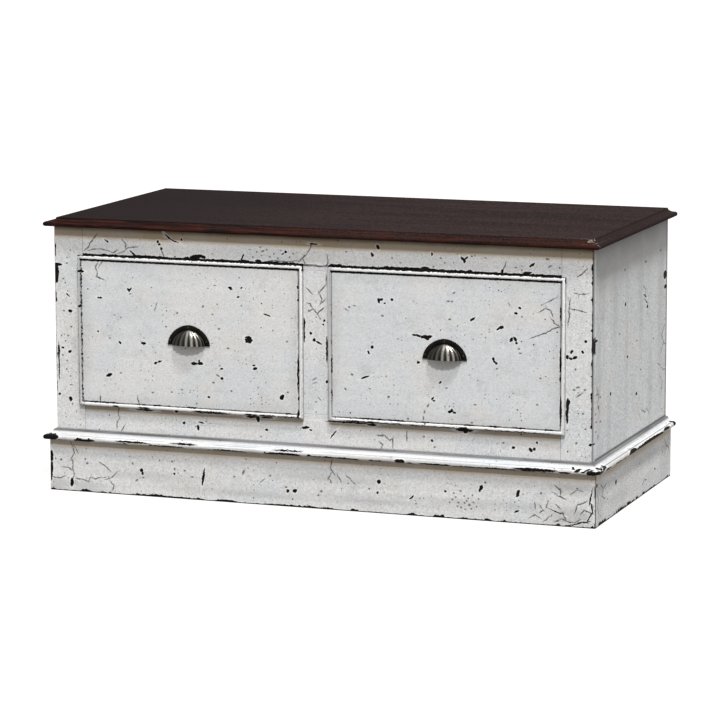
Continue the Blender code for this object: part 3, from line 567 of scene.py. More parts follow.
RIGHT_PLINTH = {
    "smears": [(20, 50, 50, 80), (150, 30, 120, 20), (330, 70, 140, 26), (470, 40, 60, 70)],
    "chips": [
        (125, 61, 10, 8), (400, 35, 8, 4), (-2, 78, 8, 8), (185, 1.5, 30, 4), (240, 1.5, 20, 4),
        (370, 1.5, 80, 4),
    ],
    "faint": [(70, 40, 5, 3, 20), (290, 66, 5, 4), (455, 58, 4, 4)],
    "cracks": [
        [(2, 62), (9, 48), (4, 36), (12, 22)], [(310, 20), (324, 28), (342, 24)],
        [(470, 80), (484, 66), (472, 54)], [(484, 66), (500, 60), (508, 46)],
        [(500, 60), (494, 76), (506, 84)], [(24, 74), (40, 66), (34, 52), (52, 44)], [(40, 66), (60, 70)],
    ],
}
RIGHT_MOULDING = {
    "chips": [
        (-18, 105, 12, 7), (-6, 104, 14, 6, 10), (10, 106, 16, 4, 20), (24, 108, 14, 3, 10),
        (0, 109, 12, 3), (208, 104, 50, 10), (330, 103.5, 190, 8), (450, 106, 40, 5), (508, 106, 16, 9),
        (40, 103, 30, 3), (110, 102, 40, 3),
    ],
}
TOP_SCUFFS = [
    (530, -250, 14, 4, 10), (522, -247, 8, 2, -30), (527, -244, 9, 2, -40), (531, -236, 3, 10, 10),
    (537, -262, 10, 2), (520, -262, 12, 1.5), (548, -266, 5, 3), (538, -244, 2, 14),
    (512, -240, 10, 1.4, 30), (505, -262, 8, 1.2),
]


def mirrored(marks, start):
    """The same kind of wear for a face that the photograph does not show, turned end for end."""
    turned = {}
    for kind in ("chips", "faint", "smears"):
        turned[kind] = []
        for across, up, long, wide, *turn in marks.get(kind, []):
            turned[kind].append((start - across, up, long, wide, -sum(turn)))
    turned["cracks"] = [[(start - across, up) for across, up in line] for line in marks.get("cracks", [])]
    return turned


def feed(socket, value):
    """Gives a socket a number, a colour, a tuple or another node's output."""
    if isinstance(value, Value):
        socket.id_data.links.new(value.socket, socket)
    elif socket.type == "RGBA":
        socket.default_value = (*value, 1.0)
    else:
        socket.default_value = value


def add_node(tree, kind, values, output=0, **settings):
    """Adds a node and returns one of its outputs."""
    node = tree.nodes.new("ShaderNode" + kind)
    for name, setting in settings.items():
        setattr(node, name, setting)
    for key, value in values.items():
        feed(node.inputs[key], value)
    return Value(node.outputs[output])


class Value:
    """A node's output: a number, a place or a colour. To work with it is to add the nodes that do so."""

    def __init__(self, socket):
        self.socket = socket
        self.tree = socket.id_data

    def math(self, operation, *others, output=0):
        kind = "Math" if self.socket.type == "VALUE" else "VectorMath"
        return add_node(self.tree, kind, dict(enumerate((self, *others))), output, operation=operation)

    def __add__(self, other):
        return self.math("ADD", other)

    def __sub__(self, other):
        return self.math("SUBTRACT", other)

    def __rsub__(self, number):
        return add_node(self.tree, "Math", {0: number, 1: self}, operation="SUBTRACT")

    def __mul__(self, other):
        return self.math("MULTIPLY", other)

    def __abs__(self):
        return self.math("ABSOLUTE")

    def most(self, *others):
        found = self
        for other in others:
            found = found.math("MAXIMUM", other)
        return found

    def least(self, *others):
        found = self
        for other in others:
            found = found.math("MINIMUM", other)
        return found

    def split(self):
        node = add_node(self.tree, "SeparateXYZ", {0: self}).socket.node
        return {letter: Value(node.outputs[letter]) for letter in "XYZ"}

    def fade(self, low, high, least=0.0, most=1.0):
        """From least where the value is at low to most where it is at high."""
        values = {"Value": self, "From Min": low, "From Max": high, "To Min": least, "To Max": most}
        return add_node(self.tree, "MapRange", values, interpolation_type="SMOOTHSTEP")

    def between(self, first, second):
        """The first colour where the value is 0, and the second where it is 1."""
        return add_node(self.tree, "Mix", {0: self, 6: first, 7: second}, 2, data_type="RGBA")

    def shading(self, colour):
        """A colour made as light as the value says."""
        level = add_node(self.tree, "CombineXYZ", {0: self, 1: self, 2: self})
        values = {0: 1.0, 6: colour, 7: level}
        return add_node(self.tree, "Mix", values, 2, data_type="RGBA", blend_type="MULTIPLY")

    def noise(self, scale, detail=2.0, roughness=0.5, output="Fac"):
        values = {"Vector": self, "Scale": scale, "Detail": detail, "Roughness": roughness}
        return add_node(self.tree, "TexNoise", values, output)

    def stretched_noise(self, stretch, detail, roughness):
        """Noise with its own scale along each axis."""
        return (self * stretch).noise(1.0, detail, roughness)

    def shaken(self, scale, reach, detail):
        """The place moved about by up to half the reach, so that outlines drawn on it come out ragged."""
        spread = self.noise(scale, detail, SHAKE_ROUGHNESS, "Color")
        return self + (spread - (0.5, 0.5, 0.5)) * (reach, reach, 0.0)

    def turned(self, turn):
        """A flat place measured along a direction, in degrees from across, and square to it."""
        angle = math.radians(turn)
        along = self.math("DOT_PRODUCT", (math.cos(angle), math.sin(angle), 0.0), output="Value")
        square = self.math("DOT_PRODUCT", (-math.sin(angle), math.cos(angle), 0.0), output="Value")
        return add_node(self.tree, "CombineXYZ", {0: along, 1: square})

    def outside(self, marks):
        """How far a place lies outside the nearest of some oval marks, in millimetres."""
        turns = {}
        found = None
        for across, up, long, wide, *turn in marks:
            turn = round(sum(turn) / TURN_STEP) * TURN_STEP % HALF_TURN
            if turn not in turns:
                turns[turn] = self.turned(turn)
            middle = Matrix.Rotation(math.radians(-turn), 2) @ Vector((across, up))
            scale = (2 / long, 2 / wide, 0.0)
            shift = (-middle.x * scale[0], -middle.y * scale[1], 0.0)
            half = min(long, wide) / 2
            oval = turns[turn].math("MULTIPLY_ADD", scale, shift)
            away = oval.math("LENGTH", output="Value").math("MULTIPLY_ADD", half, -half)
            found = away if found is None else found.least(away)
        return found

    def from_edge(self, axis, point):
        """How far a place lies from a line along one axis through a point."""
        across = [0.0 if letter == axis else 1.0 for letter in "XYZ"]
        corner = [value * keep for value, keep in zip(point, across)]
        return (self * across).math("DISTANCE", corner, output="Value")

    def worn_edge(self, axis, point, thin, thick, start=0.0, seed=0.0):
        """A worn line along one arris: thin, thicker here and there, and none nearer to 0 than the start."""
        along = [1.0 if letter == axis else 0.0 for letter in "XYZ"]
        away = self.from_edge(axis, point)
        run = self * along + [seed * step for step in EDGE_SHIFT]
        width = run.noise(*WEAR_RUN).fade(0.48, 0.62, thin, thin + thick)
        reach = width * self.noise(*WEAR_ROUGH).fade(0.2, 0.8, 0.7, 1.3)
        if start:
            reach = reach * abs(self.split()[axis]).fade(start - 2.0, start + 2.0)
        return (reach - away).fade(-0.35, 0.35)


class Look:
    """A material in the making. Its place is the spot on the chest, in millimetres."""

    def __init__(self, name, roughness, specular=0.5, metallic=0.0):
        self.material = bpy.data.materials.new(name)
        self.material.use_nodes = True
        self.tree = self.material.node_tree
        self.give(Roughness=roughness, Specular_IOR_Level=specular, Metallic=metallic)
        self.place = add_node(self.tree, "TexCoord", {}, "Object") * (MM, MM, MM)

    def give(self, **values):
        """Sets the shader's inputs, named with _ for each space."""
        for name, value in values.items():
            feed(self.tree.nodes["Principled BSDF"].inputs[name.replace("_", " ")], value)

    def facing(self):
        """How far a face is turned to the right, from -1 to 1."""
        return add_node(self.tree, "NewGeometry", {}, "Normal").split()["X"]

    def finish(self, colour, roughness, height):
        values = {"Height": height, "Distance": BUMP_DEPTH, "Strength": BUMP_STRENGTH}
        self.give(Base_Color=colour, Roughness=roughness, Normal=add_node(self.tree, "Bump", values))
        return self.material


def crack_marks(cracks):
    """Each straight run of a crack as a thin oval."""
    for line in cracks:
        for (x0, z0), (x1, z1) in zip(line, line[1:]):
            long = math.hypot(x1 - x0, z1 - z0) * CRACK_OVERLAP
            turn = math.degrees(math.atan2(z1 - z0, x1 - x0))
            yield ((x0 + x1) / 2, (z0 + z1) / 2, long, CRACK_WIDTH, turn)


def lip_wear(flat, inset, along, up, tall, dotted):
    """How far a drawer front's bead is black, from wear and painted shade, and how far it is grey.

    The quirk and the top of the lip are black along the top: worn paint, and painted shade in the quirk and
    in the gap above the lip. Elsewhere the quirk is a grey line of grime and painted shade with black
    strokes, or with black dots
    down the left, and the rim is a thin grey line, painted shade in the gap round the lip. The left bead is
    dull grey:
    painted shade, as it turns away from the lamps.
    """
    inset = inset + flat.noise(LIP_WAVER).fade(0.2, 0.8, -0.8, 0.8)
    upper = up.fade(tall - 13.0, tall - 9.0)
    strokes = flat.noise(*LIP_STROKES).fade(0.52, 0.58)
    off_quirk = abs(inset - QUIRK_INSET)
    width = upper.math("MULTIPLY_ADD", 0.6, 1.6)
    line = (off_quirk - width).fade(0.45, -0.45)
    left = along.fade(14.0, 11.0)
    if dotted:
        strokes = strokes * (1.0 - left)
    bare = (line * upper.most(strokes)).most(inset.fade(1.2, 0.4) * upper)
    if dotted:
        spots = flat.noise(*LIP_DOTS).fade(0.47, 0.53) * left
        bare = bare.most(spots * off_quirk.fade(2.6, 1.4).most(inset.fade(2.0, 1.2)))
    # Painted shade: grey in the quirk and at the rim, and on the left bead
    groove = off_quirk.fade(1.9, 0.5) * left.fade(0.0, 1.0, 0.72, 0.5)
    dull = inset.fade(8.0, 7.0, 0.0, 0.22) * left
    return bare, groove.most(inset.fade(1.3, 0.3, 0.0, 0.5), dull)


def paint_film(flat, across, streaks, tone, cool, coarse, brushed, fibres):
    """The paint before it wore: its colour, how unevenly grime and painted shade take to it, and its brush
    marks in relief.
    """
    stretch = (BRUSH_LENGTH, fibres, 1.0) if streaks == "X" else (fibres, BRUSH_LENGTH, 1.0)
    strokes = flat.stretched_noise(stretch, *BRUSH)
    blush = (flat + BLUSH_SHIFT).noise(*BLUSH)
    smears = (flat + SMEARS_SHIFT).noise(*SMEARS)
    tooth = (flat * SIDE_SQUEEZE if across == "Y" else flat).noise(*TOOTH)
    plain = [part * tone for part in PAINT]
    colour = flat.noise(*CLOUDS).fade(0.40 - cool, 0.62 - cool).between(plain, PAINT_COOL)
    colour = blush.fade(0.50, 0.70, 0.0, 0.6).between(colour, PAINT_WARM)
    colour = smears.fade(0.50, 0.78, 0.0, 0.30).between(colour, SMUDGE)
    colour = flat.noise(*GRAIN).fade(0.50, 0.75, 0.0, min(1.0, 0.22 * coarse)).between(colour, GRIME_AND_SHADE)
    bristles = strokes.fade(0.25, 0.75, 1.0 - brushed, 1.0 + min(brushed, 0.1))
    level = bristles * tooth.fade(0.2, 0.8, 1.0 - 0.12 * coarse, 1.0 + 0.12 * coarse)
    relief = strokes.math("MULTIPLY_ADD", 0.10, tooth * 0.03)
    return level.shading(colour), blush.fade(0.3, 0.7, 0.85, 1.15), relief


def scattered(place, scale, growth, least, soft):
    """Specks, one to a cell, and the chance that gave each its size."""
    values = {"Vector": place, "Scale": scale}
    cells = add_node(place.tree, "TexVoronoi", values, "Distance", voronoi_dimensions="2D")
    chance = Value(cells.socket.node.outputs["Color"]).split()["X"]
    size = chance.math("POWER", 3.0).math("MULTIPLY_ADD", growth, least)
    return (size - cells * (1.0 / scale)).fade(-soft, soft), chance


def fine_wear(flat, ragged, hairs):
    """Specks in clusters, large and fine, and hairlines in patches: how grey they are, and how bare."""
    specks, chance = scattered(flat, *SPECKS)
    specks = specks * flat.noise(SPECK_CLUSTERS).fade(0.42, 0.56, 0.25, 1.0)
    grit = scattered(ragged, *GRIT)[0]
    grit = grit * (flat + GRIT_SHIFT).noise(GRIT_CLUSTERS).fade(0.46, 0.58)
    values = {"Vector": flat.shaken(*WANDER), "Scale": PLATE_SCALE}
    kind = {"feature": "DISTANCE_TO_EDGE", "voronoi_dimensions": "2D"}
    plates = add_node(flat.tree, "TexVoronoi", values, "Distance", **kind)
    patches = (flat + HAIR_SHIFT).noise(HAIR_PATCHES).fade(0.55, 0.66, 0.0, hairs)
    faint = (specks * 0.7).most(grit, plates.fade(0.016, 0.004) * patches)
    return faint, specks * chance.fade(0.88, 0.94)


def painted(
    name, seed, marks, across="X", streaks="X", corner=(0.0, 0.0), lip=None, dotted=False, shade_and_grime_below=(0.0, ()),
    clear=0.0, edges=(), seams=(), flank=None, tone=1.0, cool=0.0, coarse=1.0, brushed=0.03, fibres=0.10,
    hairs=0.3, smudged=0.24,
):
    """Worn off-white paint: brushed, mottled and crackled, with chips down to a black undercoat.

    Across is the axis that marks are measured along, from the corner, and streaks is that of the brush marks.
    Lip is the width and height of a drawer front, whose bead is worn all round, and dotted if its left is so.
    Inside a lip the field darkens towards the bead as painted shade, and the bead is lighter as a painted
    highlight, but not on its left. The shade below a ledge is given as the ledge's height and the layers of
    painted shade held below it, apart from a clear stretch in the middle; at the moulding's cap one layer is
    grey grime in the joint. Edges are worn arrises and seams are corners that hold grey grime, each an axis,
    a point and its numbers. Flank is an arris and the numbers of the dark stretch beside it, on faces turned
    to the ends. Tone is the lightness of the paint, cool tells how much of it is bluish, coarse is the
    strength of its grain, brushed and fibres are the strength and fineness of its brush marks, and hairs and
    smudged the strength of hairlines and smears.
    """
    look = Look(name, PAINT_ROUGHNESS, PAINT_SPECULAR)
    parts = look.place.split()
    along = parts[across] - corner[0]
    up = parts["Z"] - corner[1]
    depth = parts["Y"] - BODY_FRONT * MM if across == "X" else abs(parts["X"]) - HALF_WIDTH * MM
    flat = add_node(look.tree, "CombineXYZ", {0: along, 1: up, 2: depth + seed * SEED_STEP})
    ragged = flat.shaken(*RAGGED).shaken(*RAGGED_FINE)
    on_plane = ragged * FLATTEN
    colour, uneven, relief = paint_film(flat, across, streaks, tone, cool, coarse, brushed, fibres)

    # Painted shade below ledges and in the drawer's field near the bead, smears of grime, and a painted
    # highlight on the bead
    if clear:
        uneven = uneven * abs(along).fade(clear, clear + 6.0)
    if across == "Y":
        length = (BODY_BACK - BODY_FRONT) * MM
        uneven = uneven * along.fade(length - 1.0, length - 5.0)
    ledge, layers = shade_and_grime_below
    for reach, strength, stuff, soft in layers:
        held = parts["Z"].fade(ledge - reach, ledge - reach * (1.0 - soft), 0.0, strength)
        colour = (held * uneven).between(colour, stuff)
    if marks.get("smears"):
        smear = on_plane.outside(marks["smears"]).fade(9.0, -7.0, 0.0, smudged)
        colour = (smear * uneven).between(colour, GRIME_AND_SHADE)
    if lip:
        inset = along.least(lip[0] - along, up, lip[1] - up)
        # Painted shade in the field near the bead, and a painted highlight on the bead, left off its left
        # side
        colour = (inset.fade(36.0, 8.0, 0.0, 0.22) * uneven).between(colour, GRIME_AND_SHADE)
        colour = (inset.fade(7.5, 6.0, 0.0, 0.7) * along.fade(6.0, 9.0)).between(colour, HIGHLIGHT_WHITE)

    # Wear, and the marks read off the photograph, with a painted highlight round the chips and painted shade
    # along the drawers' lips
    faint, bare = fine_wear(flat, ragged, hairs)
    if marks.get("faint"):
        steady = flat.shaken(*RAGGED_SPOTS) * FLATTEN
        faint = faint.most(steady.outside(marks["faint"]).fade(0.8, -0.4, 0.0, 0.85))
    if marks.get("cracks"):
        lines = on_plane.outside(crack_marks(marks["cracks"])).fade(0.6, -0.4)
        faint = faint.most(lines * flat.noise(CRACK_SHADES).fade(0.36, 0.56, 0.6, 1.0))
    if marks.get("chips"):
        away = on_plane.outside(marks["chips"])
        # A pale rim round each chip is a painted highlight
        colour = away.fade(2.8, 1.2, 0.0, 0.5).between(colour, HIGHLIGHT_WHITE)
        bare = bare.most(away.fade(0.7, 0.0))
    for axis, point, width, strength in seams:
        faint = faint.most(look.place.from_edge(axis, point).fade(width, width * 0.35, 0.0, strength))
    for number, edge in enumerate(edges):
        bare = bare.most(look.place.worn_edge(*edge, seed=seed + number * EDGE_SEED))
    if lip:
        # Worn paint and painted shade: black and grey lines in the lip's quirk and round its edges, grey on
        # its left bead
        worn, grey = lip_wear(flat, inset, along, up, lip[1], dotted)
        bare = bare.most(worn)
        faint = faint.most(grey)
    if flank:
        arris, (start, end, strength) = flank
        near = parts["Y"].fade(arris + start, arris + end, 0.0, strength)
        colour = (near * abs(look.facing()).fade(0.5, 0.9)).between(colour, SEAM_GREY_AND_SHADE)

    colour = faint.between(colour, FAINT)
    under = flat.noise(UNDERCOAT_PATCHES).fade(0.50, 0.68, 0.0, 0.8).between(UNDERCOAT, UNDERCOAT_BROWN)
    roughness = bare.fade(0.0, 1.0, PAINT_ROUGHNESS, BARE_ROUGHNESS)
    return look.finish(bare.between(colour, under), roughness, relief)


def stained():
    """The top's dark red-brown stain, with the grain along the chest and a thin worn varnish."""
    look = Look("dark_stain", STAIN_ROUGHNESS, 0.0)
    look.give(Coat_Weight=STAIN_COAT, Coat_Roughness=STAIN_COAT_ROUGHNESS)
    place = look.place
    parts = place.split()
    bent = place.shaken(*STAIN_BENDS)
    grain = bent.stretched_noise(*STAIN_GRAIN)
    pores = bent.stretched_noise(*STAIN_PORES)
    bands = place.stretched_noise(*STAIN_BANDS)
    flecks = place.stretched_noise(*STAIN_FLECKS)
    colour = grain.fade(0.40, 0.66).between(STAIN, STAIN_LIGHT)
    colour = bands.fade(0.52, 0.38, 0.0, 0.6).between(colour, STAIN_DARK_AND_SHADE)
    colour = pores.fade(0.58, 0.72, 0.0, 0.7).between(colour, STAIN_DARK_AND_SHADE)
    colour = flecks.fade(0.50, 0.62).between(colour, STAIN_DARK_AND_SHADE)
    colour = flecks.fade(0.47, 0.36).between(colour, STAIN_LIGHT)
    # Painted shade: darker towards the left end
    colour = parts["X"].fade(250.0, TOP_LOW.x * MM, 0.0, 0.9).between(colour, STAIN_DARK_AND_SHADE)
    colour = place.stretched_noise(*STAIN_TOOTH).fade(0.3, 0.7, 0.8, 1.2).shading(colour)

    # Red streaks along the front edge, which end at the mitres, and plainer ends, darkened by their facing as
    # painted shade
    top = TOP_HIGH.z * MM
    mitre = (TOP_HIGH.x + TOP_LOW.y) * MM
    streak = bent.stretched_noise(*STAIN_STREAKS).fade(0.46, 0.62)
    streak = streak * (abs(parts["X"]) + parts["Y"]).fade(mitre + 2.0, mitre - 2.0)
    colour = (parts["Z"].fade(top - 0.6, top - 4.0) * streak).between(colour, STAIN_RED)
    facing = look.facing()
    colour = facing.fade(0.08, 0.3, 0.0, 0.9).between(colour, STAIN_END_SHADE)
    colour = facing.fade(-0.08, -0.3, 0.0, 0.9).between(colour, STAIN_DARK_AND_SHADE)
    flat = (place * FLATTEN).shaken(*RAGGED_SCUFFS)
    scuffs = flat.outside(TOP_SCUFFS).fade(0.6, -0.4, 0.0, 0.8)
    colour = (scuffs * place.noise(SCUFF_BREAKS).fade(0.42, 0.55)).between(colour, STAIN_SCUFF)
    rough = grain.fade(0.3, 0.7, STAIN_ROUGHNESS - 0.06, STAIN_ROUGHNESS + 0.08)
    return look.finish(colour, rough, pores.math("MULTIPLY_ADD", -0.06, grain * 0.05))


def bare_wood(name, axis, seed):
    """Planed wood with its grain along one axis."""
    look = Look(name, WOOD_ROUGHNESS, WOOD_SPECULAR)
    stretch = [WOOD_LENGTH if letter == axis else WOOD_WIDTH for letter in "XYZ"]
    bent = (look.place + [seed * step for step in WOOD_SHIFT]).shaken(*WOOD_BENDS)
    rings = (bent.stretched_noise(stretch, *WOOD_GRAIN) * WOOD_RINGS).math("SINE")
    fine = bent.stretched_noise([value * WOOD_FIBRES for value in stretch], *WOOD_FINE_GRAIN)
    colour = rings.fade(-0.6, 1.0, 0.0, 0.55).between(WOOD, WOOD_DARK)
    colour = fine.fade(0.52, 0.72, 0.0, 0.5).between(colour, WOOD_DARK)
    rough = fine.fade(0.3, 0.7, WOOD_ROUGHNESS - 0.06, WOOD_ROUGHNESS + 0.08)
    return look.finish(colour, rough, fine * -0.08)


def bronze():
    """Dark cast bronze: black in the grooves, rubbed bright along the ribs and the flange's edge, with a
    painted highlight on the ribs right of the middle.
    """
    look = Look("antique_bronze", BRONZE_ROUGHNESS, metallic=1.0)
    # The wear attribute holds the rubbing and, on the dome, the painted highlight
    wear = add_node(look.tree, "Attribute", {}, "Fac", attribute_name="wear")
    patina = look.place.noise(*PATINA)
    colour = wear.fade(0.15, 0.5).between(BRONZE_GROOVE, BRONZE)
    colour = (wear.fade(0.62, 0.98) * patina.fade(0.22, 0.48)).between(colour, BRONZE_WORN_AND_HIGHLIGHT)
    colour = patina.fade(0.60, 0.72, 0.0, 0.7).between(colour, BRONZE_GROOVE)
    rough = patina.fade(0.3, 0.7, BRONZE_ROUGHNESS - 0.08, BRONZE_ROUGHNESS + 0.12)
    return look.finish(colour, rough, patina * 0.12)


def arc(centre, radii, start, end, steps=ARC_STEPS):
    """Points along an ellipse's arc, angles in degrees."""
    points = []
    for step in range(steps + 1):
        angle = math.radians(start + (end - start) * step / steps)
        points.append((centre[0] + radii[0] * math.cos(angle), centre[1] + radii[1] * math.sin(angle)))
    return points


def skin(shape, loops):
    """Adds a closed solid over matching loops of points, capped at both ends."""
    rows = [[shape.verts.new(point) for point in loop] for loop in loops]
    for near, far in zip(rows, rows[1:]):
        for start in range(len(near)):
            end = (start + 1) % len(near)
            shape.faces.new((near[start], near[end], far[end], far[start]))
    shape.faces.new(rows[0])
    shape.faces.new(rows[-1])
    return rows


def add_piece(name, shape, look):
    bmesh.ops.recalc_face_normals(shape, faces=shape.faces)
    mesh = bpy.data.meshes.new(name)
    shape.to_mesh(mesh)
    shape.free()
    mesh.materials.append(look)
    mesh.shade_smooth()
    mesh.set_sharp_from_angle(angle=SMOOTH_ANGLE)
    piece = bpy.data.objects.new(name, mesh)
    bpy.context.scene.collection.objects.link(piece)
    return piece


def loft(name, loops, look):
    shape = bmesh.new()
    skin(shape, loops)
    return add_piece(name, shape, look)


def stands_for(piece, node):
    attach(piece, NODES[node]["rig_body"])
    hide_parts(node)


def dress(node, look):
    """Gives a CAD node its material and rounds its arrises a little. Its faceted mesh is joined up first."""
    piece = NODES[node]
    piece.data.materials.clear()
    piece.data.materials.append(look)
    weld = piece.modifiers.new("join_up", "WELD")
    weld.merge_threshold = WELD
    plain = piece.modifiers.new("plain_faces", "DECIMATE")
    plain.decimate_type = "DISSOLVE"
    plain.angle_limit = FLAT_ANGLE
    bevel = piece.modifiers.new("soft_arrises", "BEVEL")
    bevel.width = ARRIS
    bevel.segments = ARRIS_STEPS
    bevel.limit_method = "ANGLE"
    bevel.angle_limit = ARRIS_ANGLE
    bevel.harden_normals = True


def build_top(look):
    """The top board: bead, fillet and cove along the front and the ends, and a plain back edge."""
    bead_top = TOP_LOW.z + 2 * TOP_BEAD_RADIUS
    bead_centre = (TOP_BEAD_RADIUS, TOP_LOW.z + TOP_BEAD_RADIUS)
    cove_centre = (TOP_BEAD_RADIUS + TOP_FILLET, TOP_HIGH.z)
    profile = arc(bead_centre, (TOP_BEAD_RADIUS, TOP_BEAD_RADIUS), 270, 90)
    profile += arc(cove_centre, (TOP_COVE_WIDTH, TOP_HIGH.z - bead_top), 270, 360)
    loops = []
    for inset, up in profile:
        low, high = TOP_LOW.x + inset, TOP_HIGH.x - inset
        front = TOP_LOW.y + inset
        loops.append([(low, front, up), (high, front, up), (high, TOP_HIGH.y, up), (low, TOP_HIGH.y, up)])
    stands_for(loft("top_board", loops, look), "top_panel")


def moulding_profile():
    """Outline of the base moulding: distance out from the case, and height."""
    low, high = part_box("base_moulding_front")
    reach = BODY_FRONT - low.y
    nose = (reach - MOULDING_NOSE_RADIUS, low.z + MOULDING_NOSE_RADIUS)
    cap = (MOULDING_CAP_FLAT, high.z - MOULDING_CAP_RADIUS)
    cove_outer = nose[0] - MOULDING_FILLET
    cove_inner = MOULDING_CAP_FLAT + MOULDING_CAP_RADIUS
    cove_radii = (cove_outer - cove_inner, cap[1] - low.z - 2 * MOULDING_NOSE_RADIUS)
    outline = [(SEAT_GAP, low.z)]
    outline += arc(nose, (MOULDING_NOSE_RADIUS, MOULDING_NOSE_RADIUS), -90, 90)
    outline += arc((cove_outer, cap[1]), cove_radii, 270, 180)
    outline += arc(cap, (MOULDING_CAP_RADIUS, MOULDING_CAP_RADIUS), 0, 90)[1:]
    outline.append((SEAT_GAP, high.z))
    return outline


def build_mouldings(looks):
    outline = moulding_profile()
    mitre_gap = SEAT_GAP * math.sqrt(2)
    front = [[(end * (HALF_WIDTH + out), BODY_FRONT - out, up) for out, up in outline] for end in (-1, 1)]
    stands_for(loft("front_moulding", front, looks["front"]), "base_moulding_front")
    for side, word in ((-1, "left"), (1, "right")):
        mitre = [(side * (HALF_WIDTH + out), BODY_FRONT + mitre_gap - out, up) for out, up in outline]
        square = [(side * (HALF_WIDTH + out), BODY_BACK, up) for out, up in outline]
        piece = loft(word + "_moulding", [mitre, square], looks[word])
        stands_for(piece, "base_moulding_" + word)


def joined_copy(node):
    """A copy of a CAD node as one closed shell, for cutting with."""
    shape = bmesh.new()
    shape.from_mesh(NODES[node].data)
    bmesh.ops.remove_doubles(shape, verts=shape.verts, dist=WELD)
    shape.verts.index_update()
    faces = [[vert.index for vert in face.verts] for face in shape.faces]
    mesh = bpy.data.meshes.new(node + "_tool")
    mesh.from_pydata([vert.co[:] for vert in shape.verts], [], faces)
    shape.free()
    tool = bpy.data.objects.new(node + "_tool", mesh)
    bpy.context.scene.collection.objects.link(tool)
    return tool


def carve(piece, nodes):
    """Cuts the sockets and grooves that other boards sit in."""
    tools = [joined_copy(node) for node in nodes]
    for tool in tools:
        cut = piece.modifiers.new(tool.name, "BOOLEAN")
        cut.object = tool
        cut.solver = "EXACT"
    view_layer = bpy.context.evaluated_depsgraph_get()
    piece.data = bpy.data.meshes.new_from_object(piece.evaluated_get(view_layer))
    piece.modifiers.clear()
    for tool in tools:
        bpy.data.objects.remove(tool)


def build_drawer_front(word, paint, wood):
    """A lipped front with a bead and a quirk round its edge, painted in front and bare behind."""
    low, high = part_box(word + "_drawer_front")
    bead = arc((BEAD_RADIUS, BEAD_RADIUS - LIP_THICKNESS), (BEAD_RADIUS, BEAD_RADIUS), 180, 360)
    profile = [(LIP_REBATE, REBATE_DEPTH), (LIP_REBATE, -SEAT_GAP), (0.0, -SEAT_GAP)] + bead
    profile.append((2 * BEAD_RADIUS + QUIRK_WIDTH, FIELD_SINK - LIP_THICKNESS))
    loops = []
    for inset, depth in profile:
        left, right = low.x + inset, high.x - inset
        bottom, top = low.z + inset, high.z - inset
        y = BODY_FRONT + depth
        loops.append([(left, y, bottom), (right, y, bottom), (right, y, top), (left, y, top)])
    piece = loft(word + "_drawer_face", loops, paint)
    carve(piece, [f"{word}_drawer_{part}" for part in ("left_side", "right_side", "bottom")])
    piece.data.materials.append(wood)
    for face in piece.data.polygons:
        if face.center.y > BODY_FRONT - SEAT_GAP / 2:
            face.material_index = 1
    piece.data.set_sharp_from_angle(angle=SMOOTH_ANGLE)
    stands_for(piece, word + "_drawer_front")


def pull_outline(half_width, height, turn):
    """A point of a pull's arched outline: a half ellipse squeezed a little towards a triangle."""
    across = abs(math.cos(turn)) ** PULL_SQUEEZE
    up = abs(math.sin(turn)) ** PULL_SQUEEZE
    return math.copysign(half_width * across, math.cos(turn)), height * up


def dome_point(middle, base, wall, rib_depth, turn, fall):
    """A point of a pull's dome, and how bright it is: rubbed on the ribs, and brighter right of the middle as
    a painted highlight. Turn goes round, and fall from the top to the rim.
    """
    spread = min(1.0, max(0.0, (fall - RIB_START) / (1 - RIB_START)))
    sunk = spread * (1 - abs(math.sin(RIB_COUNT * turn)))
    valley = rib_depth * sunk
    out, up = pull_outline(1.0, PULL_HEIGHT - FLANGE_WIDTH - wall, (1 - fall) * math.pi / 2)
    x = middle + (PULL_WIDTH / 2 - FLANGE_WIDTH - wall - valley) * out * math.cos(turn)
    start = FIELD_FACE - SEAT_GAP - FLANGE_THICKNESS / 2
    y = start - (DOME_DEPTH - FLANGE_THICKNESS / 2 - wall - valley) * out * math.sin(turn)
    # Painted highlight: brighter round the turn given by the highlight's numbers
    rubbed = max(0.0, 1 - abs(turn - HIGHLIGHT_AT) / HIGHLIGHT_REACH) ** 0.5
    return Vector((x, y, base + up)), (1 - sunk) * (HIGHLIGHT_LEAST + (1 - HIGHLIGHT_LEAST) * rubbed)


